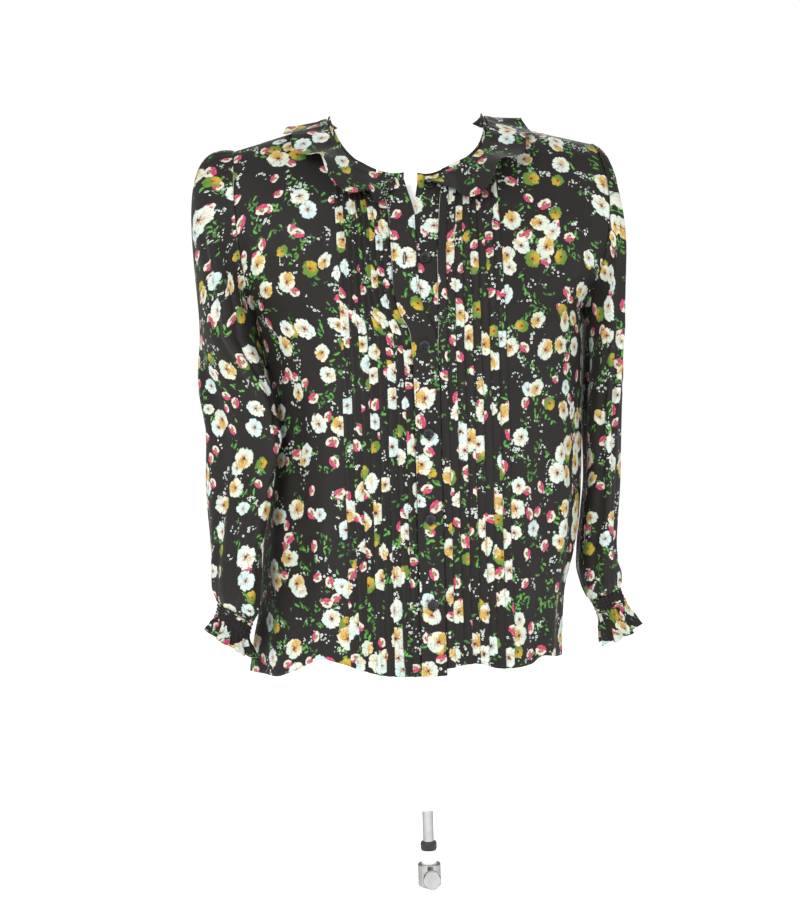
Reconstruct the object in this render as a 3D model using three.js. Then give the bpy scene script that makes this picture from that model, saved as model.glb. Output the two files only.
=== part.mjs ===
// A long-sleeved floral blouse on a limbless torso form that stands on a telescopic pole.
// Millimetres, +Z up, floor at z = 0, the front of the blouse faces -Y.
// "right" and "left" are the wearer's: the right side lies towards -X.
import * as THREE from "three";

// Driving heights above the floor.
const hemZ = 415;
const underarmZ = 785;
const shoulderZ = 963;

// Driving widths and cloth sizes.
const neckSideX = 84;
const neckDipReach = 0.45;
const placketHalf = 13;
const tuckCount = 8;
const tuckRise = 1.1;
const cloth = 1.4;
const placketCloth = 1.5;
const seamGap = 0.3;
const frillCloth = 1.2;

const radians = Math.PI / 180;
const lerp = (a, b, t) => a + (b - a) * t;
const clamp = (x, low = 0, high = 1) => Math.min(high, Math.max(low, x));
const ease = (t) => clamp(t) ** 2 * (3 - 2 * clamp(t));

// A smooth line through one column of a table, kept from overshooting its rows.
function column(table, key, name) {
  const x = table.map((row) => row[key]);
  const y = table.map((row) => row[name]);
  const step = x.slice(1).map((value, i) => (y[i + 1] - y[i]) / (value - x[i]));
  const slope = y.map((_, i) => {
    const before = step[i - 1] ?? step[i];
    const after = step[i] ?? step[i - 1];
    return before * after <= 0 ? 0 : (2 * before * after) / (before + after);
  });
  return (at) => {
    const value = clamp(at, x[0], x[x.length - 1]);
    let i = 0;
    while (i < x.length - 2 && value > x[i + 1]) i += 1;
    const span = x[i + 1] - x[i];
    const t = (value - x[i]) / span;
    return (
      y[i] * (1 + 2 * t) * (1 - t) ** 2 +
      slope[i] * span * t * (1 - t) ** 2 +
      y[i + 1] * t * t * (3 - 2 * t) +
      slope[i + 1] * span * t * t * (t - 1)
    );
  };
}
const columns = (table, key) =>
  Object.fromEntries(
    Object.keys(table[0]).map((name) => [name, column(table, key, name)]),
  );

// Vectors as [x, y, z].
const plus = (a, b, k = 1) => a.map((value, i) => value + k * b[i]);
const minus = (a, b) => plus(a, b, -1);
const cross = (a, b) => [
  a[1] * b[2] - a[2] * b[1],
  a[2] * b[0] - a[0] * b[2],
  a[0] * b[1] - a[1] * b[0],
];
const unit = (a) => {
  const length = Math.hypot(...a) || 1;
  return a.map((value) => value / length);
};

// A cloth wall from a grid of points on its middle surface, grid[row][column].
// sign turns the normals outwards; lift(row, column) raises the outer face alone.
function wall(grid, { thickness, sign = 1, ring = false, lift = () => 0 }) {
  const rows = grid.length;
  const across = grid[0].length;
  const wrap = (j) => (ring ? (j + across) % across : clamp(j, 0, across - 1));
  const normal = (i, j) => {
    const along = minus(grid[i][wrap(j + 1)], grid[i][wrap(j - 1)]);
    const up = minus(grid[Math.min(i + 1, rows - 1)][j], grid[Math.max(i - 1, 0)][j]);
    return unit(cross(along, up)).map((value) => value * sign);
  };
  const positions = [];
  for (const face of [1, -1])
    for (let i = 0; i < rows; i += 1)
      for (let j = 0; j < across; j += 1) {
        const reach = (face * thickness) / 2 + (face > 0 ? lift(i, j) : 0);
        positions.push(...plus(grid[i][j], normal(i, j), reach));
      }
  const at = (face, i, j) => face * rows * across + i * across + wrap(j);
  const triangles = [];
  const quad = (a, b, c, d) => triangles.push(a, b, c, a, c, d);
  const last = ring ? across : across - 1;
  for (let i = 0; i < rows - 1; i += 1)
    for (let j = 0; j < last; j += 1) {
      quad(at(0, i, j), at(0, i, j + 1), at(0, i + 1, j + 1), at(0, i + 1, j));
      quad(at(1, i, j), at(1, i + 1, j), at(1, i + 1, j + 1), at(1, i, j + 1));
    }
  for (let j = 0; j < last; j += 1) {
    quad(at(0, 0, j), at(1, 0, j), at(1, 0, j + 1), at(0, 0, j + 1));
    quad(at(0, rows - 1, j), at(0, rows - 1, j + 1), at(1, rows - 1, j + 1), at(1, rows - 1, j));
  }
  if (!ring)
    for (let i = 0; i < rows - 1; i += 1) {
      quad(at(0, i, 0), at(0, i + 1, 0), at(1, i + 1, 0), at(1, i, 0));
      quad(at(0, i, last), at(1, i, last), at(1, i + 1, last), at(0, i + 1, last));
    }
  if (sign < 0) triangles.reverse();
  return geometryOf(positions, triangles);
}

function geometryOf(positions, triangles) {
  const geometry = new THREE.BufferGeometry();
  geometry.setAttribute("position", new THREE.Float32BufferAttribute(positions, 3));
  geometry.setIndex(triangles);
  geometry.computeVertexNormals();
  return geometry;
}

// Body cloth seen from the side. Station s runs from the hem (0) to the shoulder seam (1).
// mid is the centre line, side the line below the neck's side; turns are plan angles there
// and at the outer edge.
const frontProfile = columns(
  [
    { s: 0.0, midZ: 415, midY: -119, sideZ: 415, sideY: -107, turnIn: 25, turnOut: 90 },
    { s: 0.25, midZ: 560, midY: -124, sideZ: 558, sideY: -112, turnIn: 25, turnOut: 90 },
    { s: 0.5, midZ: 702, midY: -130, sideZ: 700, sideY: -118, turnIn: 25, turnOut: 90 },
    { s: 0.62, midZ: 770, midY: -128, sideZ: 769, sideY: -116, turnIn: 25, turnOut: 90 },
    { s: 0.74, midZ: 838, midY: -113, sideZ: 840, sideY: -103, turnIn: 22, turnOut: 68 },
    { s: 0.84, midZ: 893, midY: -93, sideZ: 900, sideY: -80, turnIn: 16, turnOut: 50 },
    { s: 0.92, midZ: 938, midY: -70, sideZ: 952, sideY: -48, turnIn: 8, turnOut: 34 },
    { s: 0.97, midZ: 970, midY: -42, sideZ: 981, sideY: -20, turnIn: 4, turnOut: 28 },
    { s: 1.0, midZ: 992, midY: 2, sideZ: 992, sideY: 5, turnIn: 2, turnOut: 24 },
  ],
  "s",
);
const backProfile = columns(
  [
    { s: 0.0, midZ: 415, midY: 118, sideZ: 415, sideY: 106, turnIn: 25, turnOut: 90 },
    { s: 0.25, midZ: 560, midY: 116, sideZ: 558, sideY: 105, turnIn: 25, turnOut: 90 },
    { s: 0.5, midZ: 702, midY: 114, sideZ: 700, sideY: 104, turnIn: 25, turnOut: 90 },
    { s: 0.62, midZ: 770, midY: 113, sideZ: 769, sideY: 104, turnIn: 25, turnOut: 90 },
    { s: 0.74, midZ: 838, midY: 109, sideZ: 840, sideY: 100, turnIn: 22, turnOut: 72 },
    { s: 0.84, midZ: 896, midY: 99, sideZ: 900, sideY: 88, turnIn: 16, turnOut: 55 },
    { s: 0.92, midZ: 944, midY: 80, sideZ: 952, sideY: 62, turnIn: 8, turnOut: 38 },
    { s: 0.97, midZ: 975, midY: 60, sideZ: 981, sideY: 34, turnIn: 4, turnOut: 30 },
    { s: 1.0, midZ: 992, midY: 40, sideZ: 992, sideY: 5.6, turnIn: 2, turnOut: 24 },
  ],
  "s",
);
const front = { profile: frontProfile, sign: -1, armholeDepth: 54, neckStation: 0.905, neckRound: 3.2, neckDip: 0.018 };
const back = { profile: backProfile, sign: 1, armholeDepth: 58, neckStation: 0.968, neckRound: 3, neckDip: 0 };
const underarmStation = 0.66;
const neckDropStation = 0.6;

// Half widths of the body cloth below the underarm. It hangs plumb, askew on the form.
const rightSideX = [
  { z: 415, x: 182 },
  { z: 445, x: 178 },
  { z: 480, x: 171 },
  { z: 545, x: 165 },
  { z: 609, x: 161 },
  { z: 663, x: 159 },
  { z: 700, x: 159 },
  { z: 740, x: 162 },
  { z: 785, x: 169 },
];
const leftSideX = [
  { z: 415, x: 149 },
  { z: 480, x: 153 },
  { z: 525, x: 165 },
  { z: 560, x: 172 },
  { z: 609, x: 176.5 },
  { z: 663, x: 178.5 },
  { z: 700, x: 179.5 },
  { z: 740, x: 181.5 },
  { z: 785, x: 184.5 },
];

// How much the hem is lifted at each distance from the centre. It is taken up by hemReach.
const hemReach = 0.3;
const hemBackX = 180;
const hemBackRise = 1.2;
const rightHem = [
  { x: 0, lift: -2 },
  { x: 37, lift: -1 },
  { x: 50, lift: 0 },
  { x: 73, lift: 6 },
  { x: 94, lift: 13 },
  { x: 112, lift: 17 },
  { x: 128, lift: 11 },
  { x: 145, lift: 2 },
  { x: 160, lift: -4 },
  { x: 182, lift: -4 },
];
const leftHem = [
  { x: 0, lift: 4 },
  { x: 12, lift: 5 },
  { x: 42, lift: 9 },
  { x: 68, lift: 2 },
  { x: 87, lift: 1 },
  { x: 106, lift: 2 },
  { x: 117, lift: 9 },
  { x: 128, lift: 6 },
  { x: 143, lift: 1 },
  { x: 150, lift: 0 },
];

// Each sleeve hangs as a flattened tube. Rows give its middle (out from the centre, y), the half
// lengths of its section along the front-back and the outward direction, the plan twist that
// brings its front edge inwards, and how much the outer edge is raised for each mm outwards.
const rightSleeveRows = [
  { z: 480, x: 199, y: -42, long: 32, short: 17, twist: 18, raise: 0.5 },
  { z: 496, x: 199, y: -42, long: 46, short: 21, twist: 20, raise: 0.42 },
  { z: 520, x: 198, y: -42, long: 49, short: 21, twist: 22, raise: 0.2 },
  { z: 545, x: 197, y: -42, long: 51, short: 19, twist: 25, raise: 0 },
  { z: 609, x: 191.5, y: -42, long: 55, short: 19.5, twist: 35, raise: 0 },
  { z: 663, x: 186.5, y: -44, long: 58, short: 19, twist: 38, raise: 0 },
  { z: 700, x: 190, y: -34, long: 59, short: 22, twist: 34, raise: 0 },
  { z: 735, x: 194.5, y: -16, long: 61, short: 25, twist: 22, raise: 0 },
  { z: 765, x: 198.5, y: -3, long: 63, short: 26.7, twist: 10, raise: 0 },
];
const leftSleeveRows = [
  { z: 478, x: 202, y: 8, long: 31, short: 17, twist: 0, raise: 0.4 },
  { z: 492, x: 199, y: 8, long: 42, short: 20.5, twist: 0, raise: 0.3 },
  { z: 510, x: 195, y: 8, long: 46, short: 21.5, twist: 0, raise: 0.15 },
  { z: 528, x: 195, y: 8, long: 49, short: 20.5, twist: 1, raise: 0 },
  { z: 560, x: 198, y: 8, long: 52, short: 19.5, twist: 3, raise: 0 },
  { z: 609, x: 202, y: 8, long: 56, short: 18.5, twist: 4, raise: 0 },
  { z: 663, x: 202.4, y: 7, long: 59, short: 18.5, twist: 3, raise: 0 },
  { z: 735, x: 205, y: 4, long: 62, short: 18, twist: 1, raise: 0 },
  { z: 765, x: 206.5, y: 2, long: 64, short: 18, twist: 0, raise: 0 },
];

// Each cuff is shirred on elastic down to its frill, and kicks outwards. w runs down the cuff;
// cuffFall gives how much of the shirring and of the frill's waves shows there.
const cuffFall = columns(
  [
    { w: 0, shirr: 1, wave: 0 },
    { w: 0.3, shirr: 1, wave: 0 },
    { w: 0.55, shirr: 1, wave: 0.1 },
    { w: 0.78, shirr: 0.5, wave: 0.6 },
    { w: 1, shirr: 0.2, wave: 1 },
  ],
  "w",
);
const rightCuffRows = [
  { w: 0, z: 479, x: 199.4, y: -42.6, long: 30, short: 16, twist: 18, raise: 0.5 },
  { w: 0.3, z: 469, x: 202, y: -43, long: 26, short: 15.5, twist: 18, raise: 0.6 },
  { w: 0.55, z: 461, x: 204, y: -43, long: 26.5, short: 16.5, twist: 18, raise: 0.62 },
  { w: 0.78, z: 453, x: 204.5, y: -45, long: 30, short: 20, twist: 18, raise: 0.6 },
  { w: 1, z: 445, x: 205, y: -46, long: 34, short: 23, twist: 18, raise: 0.6 },
];
const leftCuffRows = [
  { w: 0, z: 477, x: 202.4, y: 8, long: 29, short: 16, twist: 0, raise: 0.42 },
  { w: 0.3, z: 467, x: 206.5, y: 8, long: 25, short: 14.5, twist: 0, raise: 0.5 },
  { w: 0.55, z: 457, x: 210.5, y: 8, long: 25, short: 14.5, twist: 0, raise: 0.55 },
  { w: 0.78, z: 444, x: 214.5, y: 8, long: 29, short: 16.5, twist: 0, raise: 0.54 },
  { w: 1, z: 431, x: 218, y: 8, long: 33, short: 18, twist: 0, raise: 0.54 },
];

const right = {
  name: "right",
  sign: -1,
  tipX: 184,
  underX: 169,
  bulge: 8,
  capOut: 215,
  capRise: 1.2,
  hem: column(rightHem, "x", "lift"),
  sideX: column(rightSideX, "z", "x"),
  sleeve: columns(rightSleeveRows, "z"),
  sleeveRows: rightSleeveRows,
  cuff: columns(rightCuffRows, "w"),
  foldPhase: 0.6,
};
const left = {
  name: "left",
  sign: 1,
  tipX: 200,
  underX: 184.5,
  bulge: 15,
  capOut: 115,
  capRise: 0.8,
  hem: column(leftHem, "x", "lift"),
  sideX: column(leftSideX, "z", "x"),
  sleeve: columns(leftSleeveRows, "z"),
  sleeveRows: leftSleeveRows,
  cuff: columns(leftCuffRows, "w"),
  foldPhase: 2.4,
};

// The armhole seam: angle 0 at the shoulder tip, 180 at the underarm.
const tipY = 8;
const underY = 2;
const hemSideY = -3;
function armhole(side, face, angle) {
  const c = (1 + Math.cos(angle * radians)) / 2;
  const s = Math.abs(Math.sin(angle * radians));
  return [
    side.sign * (lerp(side.underX, side.tipX, c) + side.bulge * s * s),
    lerp(underY, tipY, c) + face.sign * face.armholeDepth * s,
    lerp(underarmZ, shoulderZ, c),
  ];
}

// Soft drape folds run round the body and fade out towards the bust.
const foldTopZ = 752;
const foldDepth = 5.2;
const foldGrowth = 1.3;
const foldFrom = 26;
const foldFade = 22;
const bodyFolds = [
  { count: 13, share: 0.55, phase: 0.9, wander: 0 },
  { count: 8, share: 0.45, phase: -1.2, wander: 1 / 420 },
];
function drape(around, z) {
  const hang = clamp((foldTopZ - z) / (foldTopZ - hemZ)) ** foldGrowth;
  const clearOfTucks = ease((Math.abs(around) - foldFrom) / foldFade);
  const folds = bodyFolds.map(
    (fold) =>
      fold.share *
      Math.cos(fold.count * around * radians + fold.phase + fold.wander * (z - hemZ)),
  );
  return foldDepth * hang * clearOfTucks * (folds[0] + folds[1]);
}

// A point of the body cloth. u runs from the centre (0) to the neck's side line (1) and on to
// the side seam or armhole (2).
const midTurn = 25;
function body(face, side, u, s) {
  const { profile } = face;
  let point;
  let around;
  if (u <= 1) {
    const dip = face.neckDip * (1 - ease(u / neckDipReach));
    const neck = 1 - (1 - face.neckStation) * (1 - u ** face.neckRound) ** (1 / face.neckRound) - dip;
    const drop = (1 - neck) * clamp((s - neckDropStation) / (1 - neckDropStation));
    const at = s - drop;
    const turn = Math.asin(u * Math.sin(midTurn * radians));
    const f = (1 - Math.cos(turn)) / (1 - Math.cos(midTurn * radians));
    point = [
      side.sign * u * neckSideX,
      lerp(profile.midY(at), profile.sideY(at), f),
      lerp(profile.midZ(at), profile.sideZ(at), f),
    ];
    around = midTurn * u;
  } else {
    const t = u - 1;
    const inside = [side.sign * neckSideX, profile.sideY(s), profile.sideZ(s)];
    const outside = outerEdge(face, side, s);
    const first = profile.turnIn(s) * radians;
    const final = profile.turnOut(s) * radians;
    const turn = lerp(first, final, t);
    const fx = (Math.sin(turn) - Math.sin(first)) / (Math.sin(final) - Math.sin(first));
    const fy = (Math.cos(first) - Math.cos(turn)) / (Math.cos(first) - Math.cos(final));
    point = [
      lerp(inside[0], outside[0], fx),
      lerp(inside[1], outside[1], fy),
      lerp(inside[2], outside[2], fx),
    ];
    around = lerp(midTurn, 90, t);
  }
  if (face === back) around = 180 - around;
  const backHem = side.hem(hemBackX) * ease((u - 1) * hemBackRise);
  const atHem = face === back ? backHem : side.hem(Math.abs(point[0]));
  const push = drape(side.sign * around, point[2]);
  point[2] += atHem * (1 - ease(s / hemReach));
  return plus(point, [side.sign * Math.sin(around * radians), -Math.cos(around * radians), 0], push);
}
function outerEdge(face, side, s) {
  if (s > underarmStation)
    return armhole(side, face, 180 * (1 - (s - underarmStation) / (1 - underarmStation)));
  const z = lerp(hemZ, underarmZ, s / underarmStation);
  return [side.sign * side.sideX(z), lerp(hemSideY, underY, s / underarmStation), z];
}

// How far the open top of each front edge has moved sideways from the closed line.
const openShift = {
  right: column(
    [
      { z: 730, x: 0 },
      { z: 760, x: -2 },
      { z: 790, x: -14 },
      { z: 815, x: -17 },
      { z: 880, x: -17 },
      { z: 930, x: -25 },
      { z: 1000, x: -25 },
    ],
    "z",
    "x",
  ),
  left: column(
    [
      { z: 745, x: 0 },
      { z: 790, x: 2 },
      { z: 840, x: 4 },
      { z: 900, x: 11 },
      { z: 930, x: 15 },
      { z: 1000, x: 15 },
    ],
    "z",
    "x",
  ),
};
// A point of the front cloth, x mm from the closed centre line, with that opening.
const openFade = neckSideX - placketHalf;
const depthShare = 0.3;
function frontAt(side, x, s) {
  const flat = body(front, side, Math.abs(x) / neckSideX, s);
  const fade = 1 - ease((Math.abs(x) - placketHalf) / openFade);
  const moved = x + openShift[side.name](flat[2]) * fade;
  const under = moved < 0 ? right : left;
  const depth = body(front, under, clamp(Math.abs(moved) / neckSideX), s);
  return [moved, depth[1], lerp(flat[2], depth[2], depthShare * ease(s / hemReach))];
}

// Stations of the grid rows: even below the underarm, closer round the armhole.
const lowRows = 8;
const highRows = 8;
const stations = [
  ...Array.from({ length: lowRows }, (_, i) => (underarmStation * i) / lowRows),
  ...Array.from(
    { length: highRows + 1 },
    (_, i) => underarmStation + ((1 - underarmStation) * i) / highRows,
  ),
];

const blouse = new THREE.Group();
const materials = {
  print: new THREE.MeshStandardMaterial({ color: 0x2b2827, roughness: 0.7 }),
  button: new THREE.MeshStandardMaterial({ color: 0x0c0c0d, roughness: 0.25 }),
  form: new THREE.MeshStandardMaterial({ color: 0xf4f3f0, roughness: 0.5 }),
  chrome: new THREE.MeshStandardMaterial({ color: 0xd6d8d6, roughness: 0.12, metalness: 1 }),
  ring: new THREE.MeshStandardMaterial({ color: 0x151515, roughness: 0.45 }),
  enamel: new THREE.MeshStandardMaterial({ color: 0xf2f2f0, roughness: 0.35 }),
};
function add(name, geometry, material) {
  const mesh = new THREE.Mesh(geometry, materials[material]);
  mesh.name = name;
  blouse.add(mesh);
  return mesh;
}

// Fronts: eight tucks beside the placket, folded outwards, then the plain side.
const tuckPitch = (neckSideX - placketHalf) / tuckCount;
const tuckLip = 0.5;
const sideColumns = 7;
const tuckColumns = [{ x: placketHalf + seamGap / 2, rise: 0 }];
for (let k = 0; k < tuckCount; k += 1) {
  const end = placketHalf + (k + 1) * tuckPitch;
  tuckColumns.push({ x: end - tuckLip, rise: tuckRise });
  tuckColumns.push({ x: end, rise: 0 });
}
for (const side of [right, left]) {
  const grid = stations.map((s) => [
    ...tuckColumns.map(({ x }) => frontAt(side, side.sign * x, s)),
    ...Array.from({ length: sideColumns }, (_, j) => {
      const share = (j + 1) / sideColumns;
      const point = body(front, side, 1 + share, s);
      return share === 1 ? plus(point, [0, -seamGap, 0], s <= underarmStation ? 1 : 0) : point;
    }),
  ]);
  // The shoulder seam stays clear of the back.
  grid[grid.length - 1] = grid[grid.length - 1].map((p) => plus(p, [0, -seamGap, 0]));
  const rise = (i, j) => (tuckColumns[j] ? tuckColumns[j].rise : 0);
  add(`front_${side.name}`, wall(grid, { thickness: cloth, sign: side.sign, lift: rise }), "print");
}

// Back, in one piece from side seam to side seam.
const backMid = 4;
const backSide = 7;
const backColumns = [];
for (const side of [right, left]) {
  const half = [];
  for (let j = 1; j <= backMid; j += 1) half.push({ side, u: j / backMid });
  for (let j = 1; j <= backSide; j += 1) half.push({ side, u: 1 + j / backSide });
  if (side === right) backColumns.push(...half.reverse(), { side, u: 0 });
  else backColumns.push(...half);
}
{
  const grid = stations.map((s) =>
    backColumns.map(({ side, u }) => {
      const point = body(back, side, u, s);
      const sew = s === 1 || (u === 2 && s <= underarmStation) ? seamGap : 0;
      return plus(point, [0, sew, 0]);
    }),
  );
  add("back", wall(grid, { thickness: cloth, sign: -1 }), "print");
}

// Sleeves: gathered at the head, joined to the armhole, then hanging with long folds.
const headGatherHalf = 42;
const headStep = 7;
const sleeveAngles = [];
for (let a = -headGatherHalf; a <= headGatherHalf; a += headStep) sleeveAngles.push(a);
const restAngles = 17;
for (let j = 1; j < restAngles; j += 1)
  sleeveAngles.push(lerp(headGatherHalf, 360 - headGatherHalf, j / restAngles));
const headGather = 0.9;
const gatherReach = 0.45;
const gatherCosine = 0.7;
const capRows = 7;
const capSpacing = 1.15;
const capPull = 1.15;
const capNarrowing = 1.5;
const armholeGap = 1.7;
const sleeveTopZ = 765;
const sleeveFade = 60;
const longGap = 45;
const sleeveFolds = [
  { count: 4, depth: 1.9, turn: 1, wander: 1 / 95 },
  { count: 7, depth: 1.3, turn: -1, wander: 1 / 140 },
];

// A point of a hanging tube section; angle 0 is the outer edge, 90 the front.
function section(side, at, angle, swell = 0) {
  const a = angle * radians;
  const k = at.twist * radians;
  const outward = (at.short + swell) * Math.cos(a);
  const forward = (at.long + swell) * Math.sin(a);
  const dx = outward * Math.cos(k) - forward * Math.sin(k);
  const dy = -outward * Math.sin(k) - forward * Math.cos(k);
  return [side.sign * (at.x + dx), at.y + dy, at.z + at.raise * dx];
}
const valuesAt = (table, key) =>
  Object.fromEntries(Object.entries(table).map(([name, read]) => [name, read(key)]));
function sleevePoint(side, angle, z) {
  const at = { ...valuesAt(side.sleeve, z), z };
  const fall = ease((sleeveTopZ - z) / sleeveFade);
  const folds = sleeveFolds.map(
    ({ count, depth, turn, wander }) =>
      depth * Math.cos(count * angle * radians + turn * side.foldPhase + wander * z),
  );
  return section(side, at, angle, fall * (folds[0] + folds[1]));
}
function capPoint(side, angle, t) {
  const face = Math.sin(angle * radians) > 0 ? front : back;
  const c = (1 + Math.cos(angle * radians)) / 2;
  const start = plus(armhole(side, face, angle), [side.sign * armholeGap, 0, 0]);
  const end = sleevePoint(side, angle, sleeveTopZ);
  const drop = start[2] - end[2];
  const outTangent = [side.sign * side.capOut * c ** capNarrowing, 0, -drop * (1 - side.capRise * c)];
  const downTangent = [0, 0, -drop * capPull];
  const h = [(1 + 2 * t) * (1 - t) ** 2, t * (1 - t) ** 2, t * t * (3 - 2 * t), t * t * (t - 1)];
  const point = [0, 1, 2].map(
    (i) => h[0] * start[i] + h[1] * outTangent[i] + h[2] * end[i] + h[3] * downTangent[i],
  );
  const inHead = Math.cos(angle * radians) > gatherCosine ? 1 : 0;
  const gather = Math.round(angle / headStep) % 2 ? headGather : -headGather;
  const near = 1 - ease(t / gatherReach);
  return plus(point, [0, 0, 1], inHead * near * gather);
}
for (const side of [right, left]) {
  const hangZ = [...side.sleeveRows.map((row) => row.z)].reverse();
  const rows = [
    ...Array.from({ length: capRows }, (_, i) =>
      sleeveAngles.map((angle) => capPoint(side, angle, (i / capRows) ** capSpacing)),
    ),
    ...hangZ.flatMap((z, i) => {
      const middle = i > 0 && hangZ[i - 1] - z > longGap ? [(hangZ[i - 1] + z) / 2] : [];
      return [...middle, z].map((level) =>
        sleeveAngles.map((angle) => sleevePoint(side, angle, level)),
      );
    }),
  ];
  add(`sleeve_${side.name}`, wall(rows, { thickness: cloth, sign: side.sign, ring: true }), "print");
}

// Cuffs: fine shirring that opens into a frill.
const shirrs = 24;
const shirrDepth = 1;
const frillLobes = 8;
const frillWave = 5;
const cuffColumns = shirrs * 2;
const cuffRowsAt = [0, 0.2, 0.4, 0.58, 0.8, 1];
for (const side of [right, left]) {
  const rows = cuffRowsAt.map((w) => {
    const at = { ...valuesAt(side.cuff, w), ...valuesAt(cuffFall, w) };
    return Array.from({ length: cuffColumns }, (_, j) => {
      const angle = (360 * j) / cuffColumns;
      const pleat = (j % 2 ? 1 : -1) * shirrDepth * at.shirr;
      const lobe = frillWave * at.wave * Math.cos(frillLobes * angle * radians + side.foldPhase);
      return section(side, at, angle, pleat + lobe);
    });
  });
  add(`cuff_${side.name}`, wall(rows, { thickness: cloth, sign: side.sign, ring: true }), "print");
}

// Plackets: the right one laps over the left and carries the buttonholes.
const placketLayer = 1.1;
const neckStand = 6.5;
const neckStandLean = 0.3;
const placketAcross = 4;
function placketPoint(side, x, s, layer) {
  const point = frontAt(side, x, s);
  return plus(point, [0, -1, s === 1 ? -neckStandLean : 0], layer);
}
for (const [side, layer] of [[right, placketLayer], [left, -placketLayer]]) {
  const edge = placketHalf - seamGap / 2;
  const grid = stations.map((s) =>
    Array.from({ length: placketAcross + 1 }, (_, j) =>
      placketPoint(side, lerp(-edge, edge, j / placketAcross), s, layer),
    ),
  );
  const top = grid[grid.length - 1];
  grid.push(top.map((point) => plus(point, [0, neckStandLean, 1], neckStand)));
  add(`placket_${side.name}`, wall(grid, { thickness: placketCloth }), "print");
}

// Buttons lie on the plackets' outer faces. The upper two are unbuttoned, on the left placket.
const buttonRadius = 5.7;
const buttonHeight = 2.2;
const buttons = [
  { z: 915, side: left },
  { z: 838, side: left },
  { z: 749, side: right },
  { z: 661, side: right },
  { z: 574, side: right },
  { z: 486, side: right },
];
const buttonProfile = [
  [0, 0],
  [buttonRadius * 0.8, 0],
  [buttonRadius, buttonHeight * 0.4],
  [buttonRadius * 0.88, buttonHeight],
  [buttonRadius * 0.6, buttonHeight * 0.7],
  [0, buttonHeight * 0.66],
].map(([r, h]) => new THREE.Vector2(r, h));
const searchSteps = 30;
function stationAt(side, z) {
  let low = 0;
  let high = 1;
  for (let i = 0; i < searchSteps; i += 1) {
    const middle = (low + high) / 2;
    if (frontAt(side, 0, middle)[2] < z) low = middle;
    else high = middle;
  }
  return low;
}
buttons.forEach(({ z, side }, i) => {
  const s = stationAt(side, z);
  const layer = side === right ? placketLayer : -placketLayer;
  const centre = placketPoint(side, 0, s, layer);
  const across = minus(placketPoint(side, 5, s, layer), placketPoint(side, -5, s, layer));
  const up = minus(placketPoint(side, 0, s + 0.01, layer), placketPoint(side, 0, s - 0.01, layer));
  const out = unit(cross(across, up));
  const geometry = new THREE.LatheGeometry(buttonProfile, 16);
  const turn = new THREE.Quaternion().setFromUnitVectors(
    new THREE.Vector3(0, 1, 0),
    new THREE.Vector3(...out),
  );
  geometry.applyQuaternion(turn);
  geometry.translate(...plus(centre, out, placketCloth / 2 + seamGap));
  add(`button_${i + 1}`, geometry, "button");
});

// The neckline, from the right front's edge round the back to the left front's edge. Each point
// keeps the cloth's normal there and the direction in which the frill falls outwards.
const neckSamples = 60;
const frillStart = { right: -3, left: -5 };
const sideSlope = -0.28;
const justBelow = 0.98;
const normalSmoothing = 40;
const outSmoothing = 20;
function neckPoint(at, step) {
  const point = at(0, 1);
  const across = minus(at(step, 1), at(-step, 1));
  const up = minus(point, at(0, justBelow));
  const normal = unit(cross(across, up));
  return { point, normal: normal[2] < 0 ? normal.map((value) => -value) : normal };
}
const neckPath = [];
const closeToSide = (i) => Math.sin((Math.PI * i) / (2 * neckSamples));
for (const side of [right, left]) {
  const half = [];
  for (let i = 0; i <= neckSamples; i += 1) {
    const x = lerp(frillStart[side.name], neckSideX, closeToSide(i));
    half.push({ ...neckPoint((d, s) => frontAt(side, side.sign * (x + d), s), 1), along: x });
  }
  for (let i = neckSamples - 1; i > 0; i -= 1) {
    const u = closeToSide(i);
    half.push({ ...neckPoint((d, s) => body(back, side, u + d, s), 0.01), along: neckSideX });
  }
  if (side === right) neckPath.push(...half);
  else neckPath.push(neckPoint((d, s) => body(back, side, 0.02 + d, s), 0.01), ...half.reverse());
}
const smoothed = (list, times, read, write) => {
  for (let n = 0; n < times; n += 1) {
    const old = list.map(read);
    list.forEach((item, i) => {
      const before = old[Math.max(i - 1, 0)];
      const after = old[Math.min(i + 1, list.length - 1)];
      write(item, unit(plus(plus(before, after), old[i], 2)));
    });
  }
};
smoothed(neckPath, normalSmoothing, (n) => n.normal, (n, value) => { n.normal = value; });
neckPath.forEach((n, i) => {
  const before = neckPath[Math.max(i - 1, 0)].point;
  const after = neckPath[Math.min(i + 1, neckPath.length - 1)].point;
  const run = minus(after, before);
  const plan = unit([-run[1], run[0], 0]);
  const share = plan[0] * n.normal[0] + plan[1] * n.normal[1];
  const onCloth = unit(plus(plan, n.normal, -share));
  const sideways = ease((Math.abs(plan[0]) - 0.4) / 0.4);
  const slope = onCloth[2] / Math.hypot(onCloth[0], onCloth[1]);
  n.out = unit([plan[0], plan[1], lerp(slope, sideSlope, sideways)]);
});
smoothed(neckPath, outSmoothing, (n) => n.out, (n, value) => { n.out = value; });
let run = 0;
neckPath.forEach((n, i) => {
  if (i) run += Math.hypot(...minus(n.point, neckPath[i - 1].point));
  n.run = run;
});
const neckLength = run;
function neckAt(length) {
  let i = 0;
  while (i < neckPath.length - 2 && neckPath[i + 1].run < length) i += 1;
  const [a, b] = [neckPath[i], neckPath[i + 1]];
  const t = clamp((length - a.run) / (b.run - a.run));
  const mix = (name) => a[name].map((value, k) => lerp(value, b[name][k], t));
  return { point: mix("point"), normal: unit(mix("normal")), out: unit(mix("out")) };
}

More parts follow.
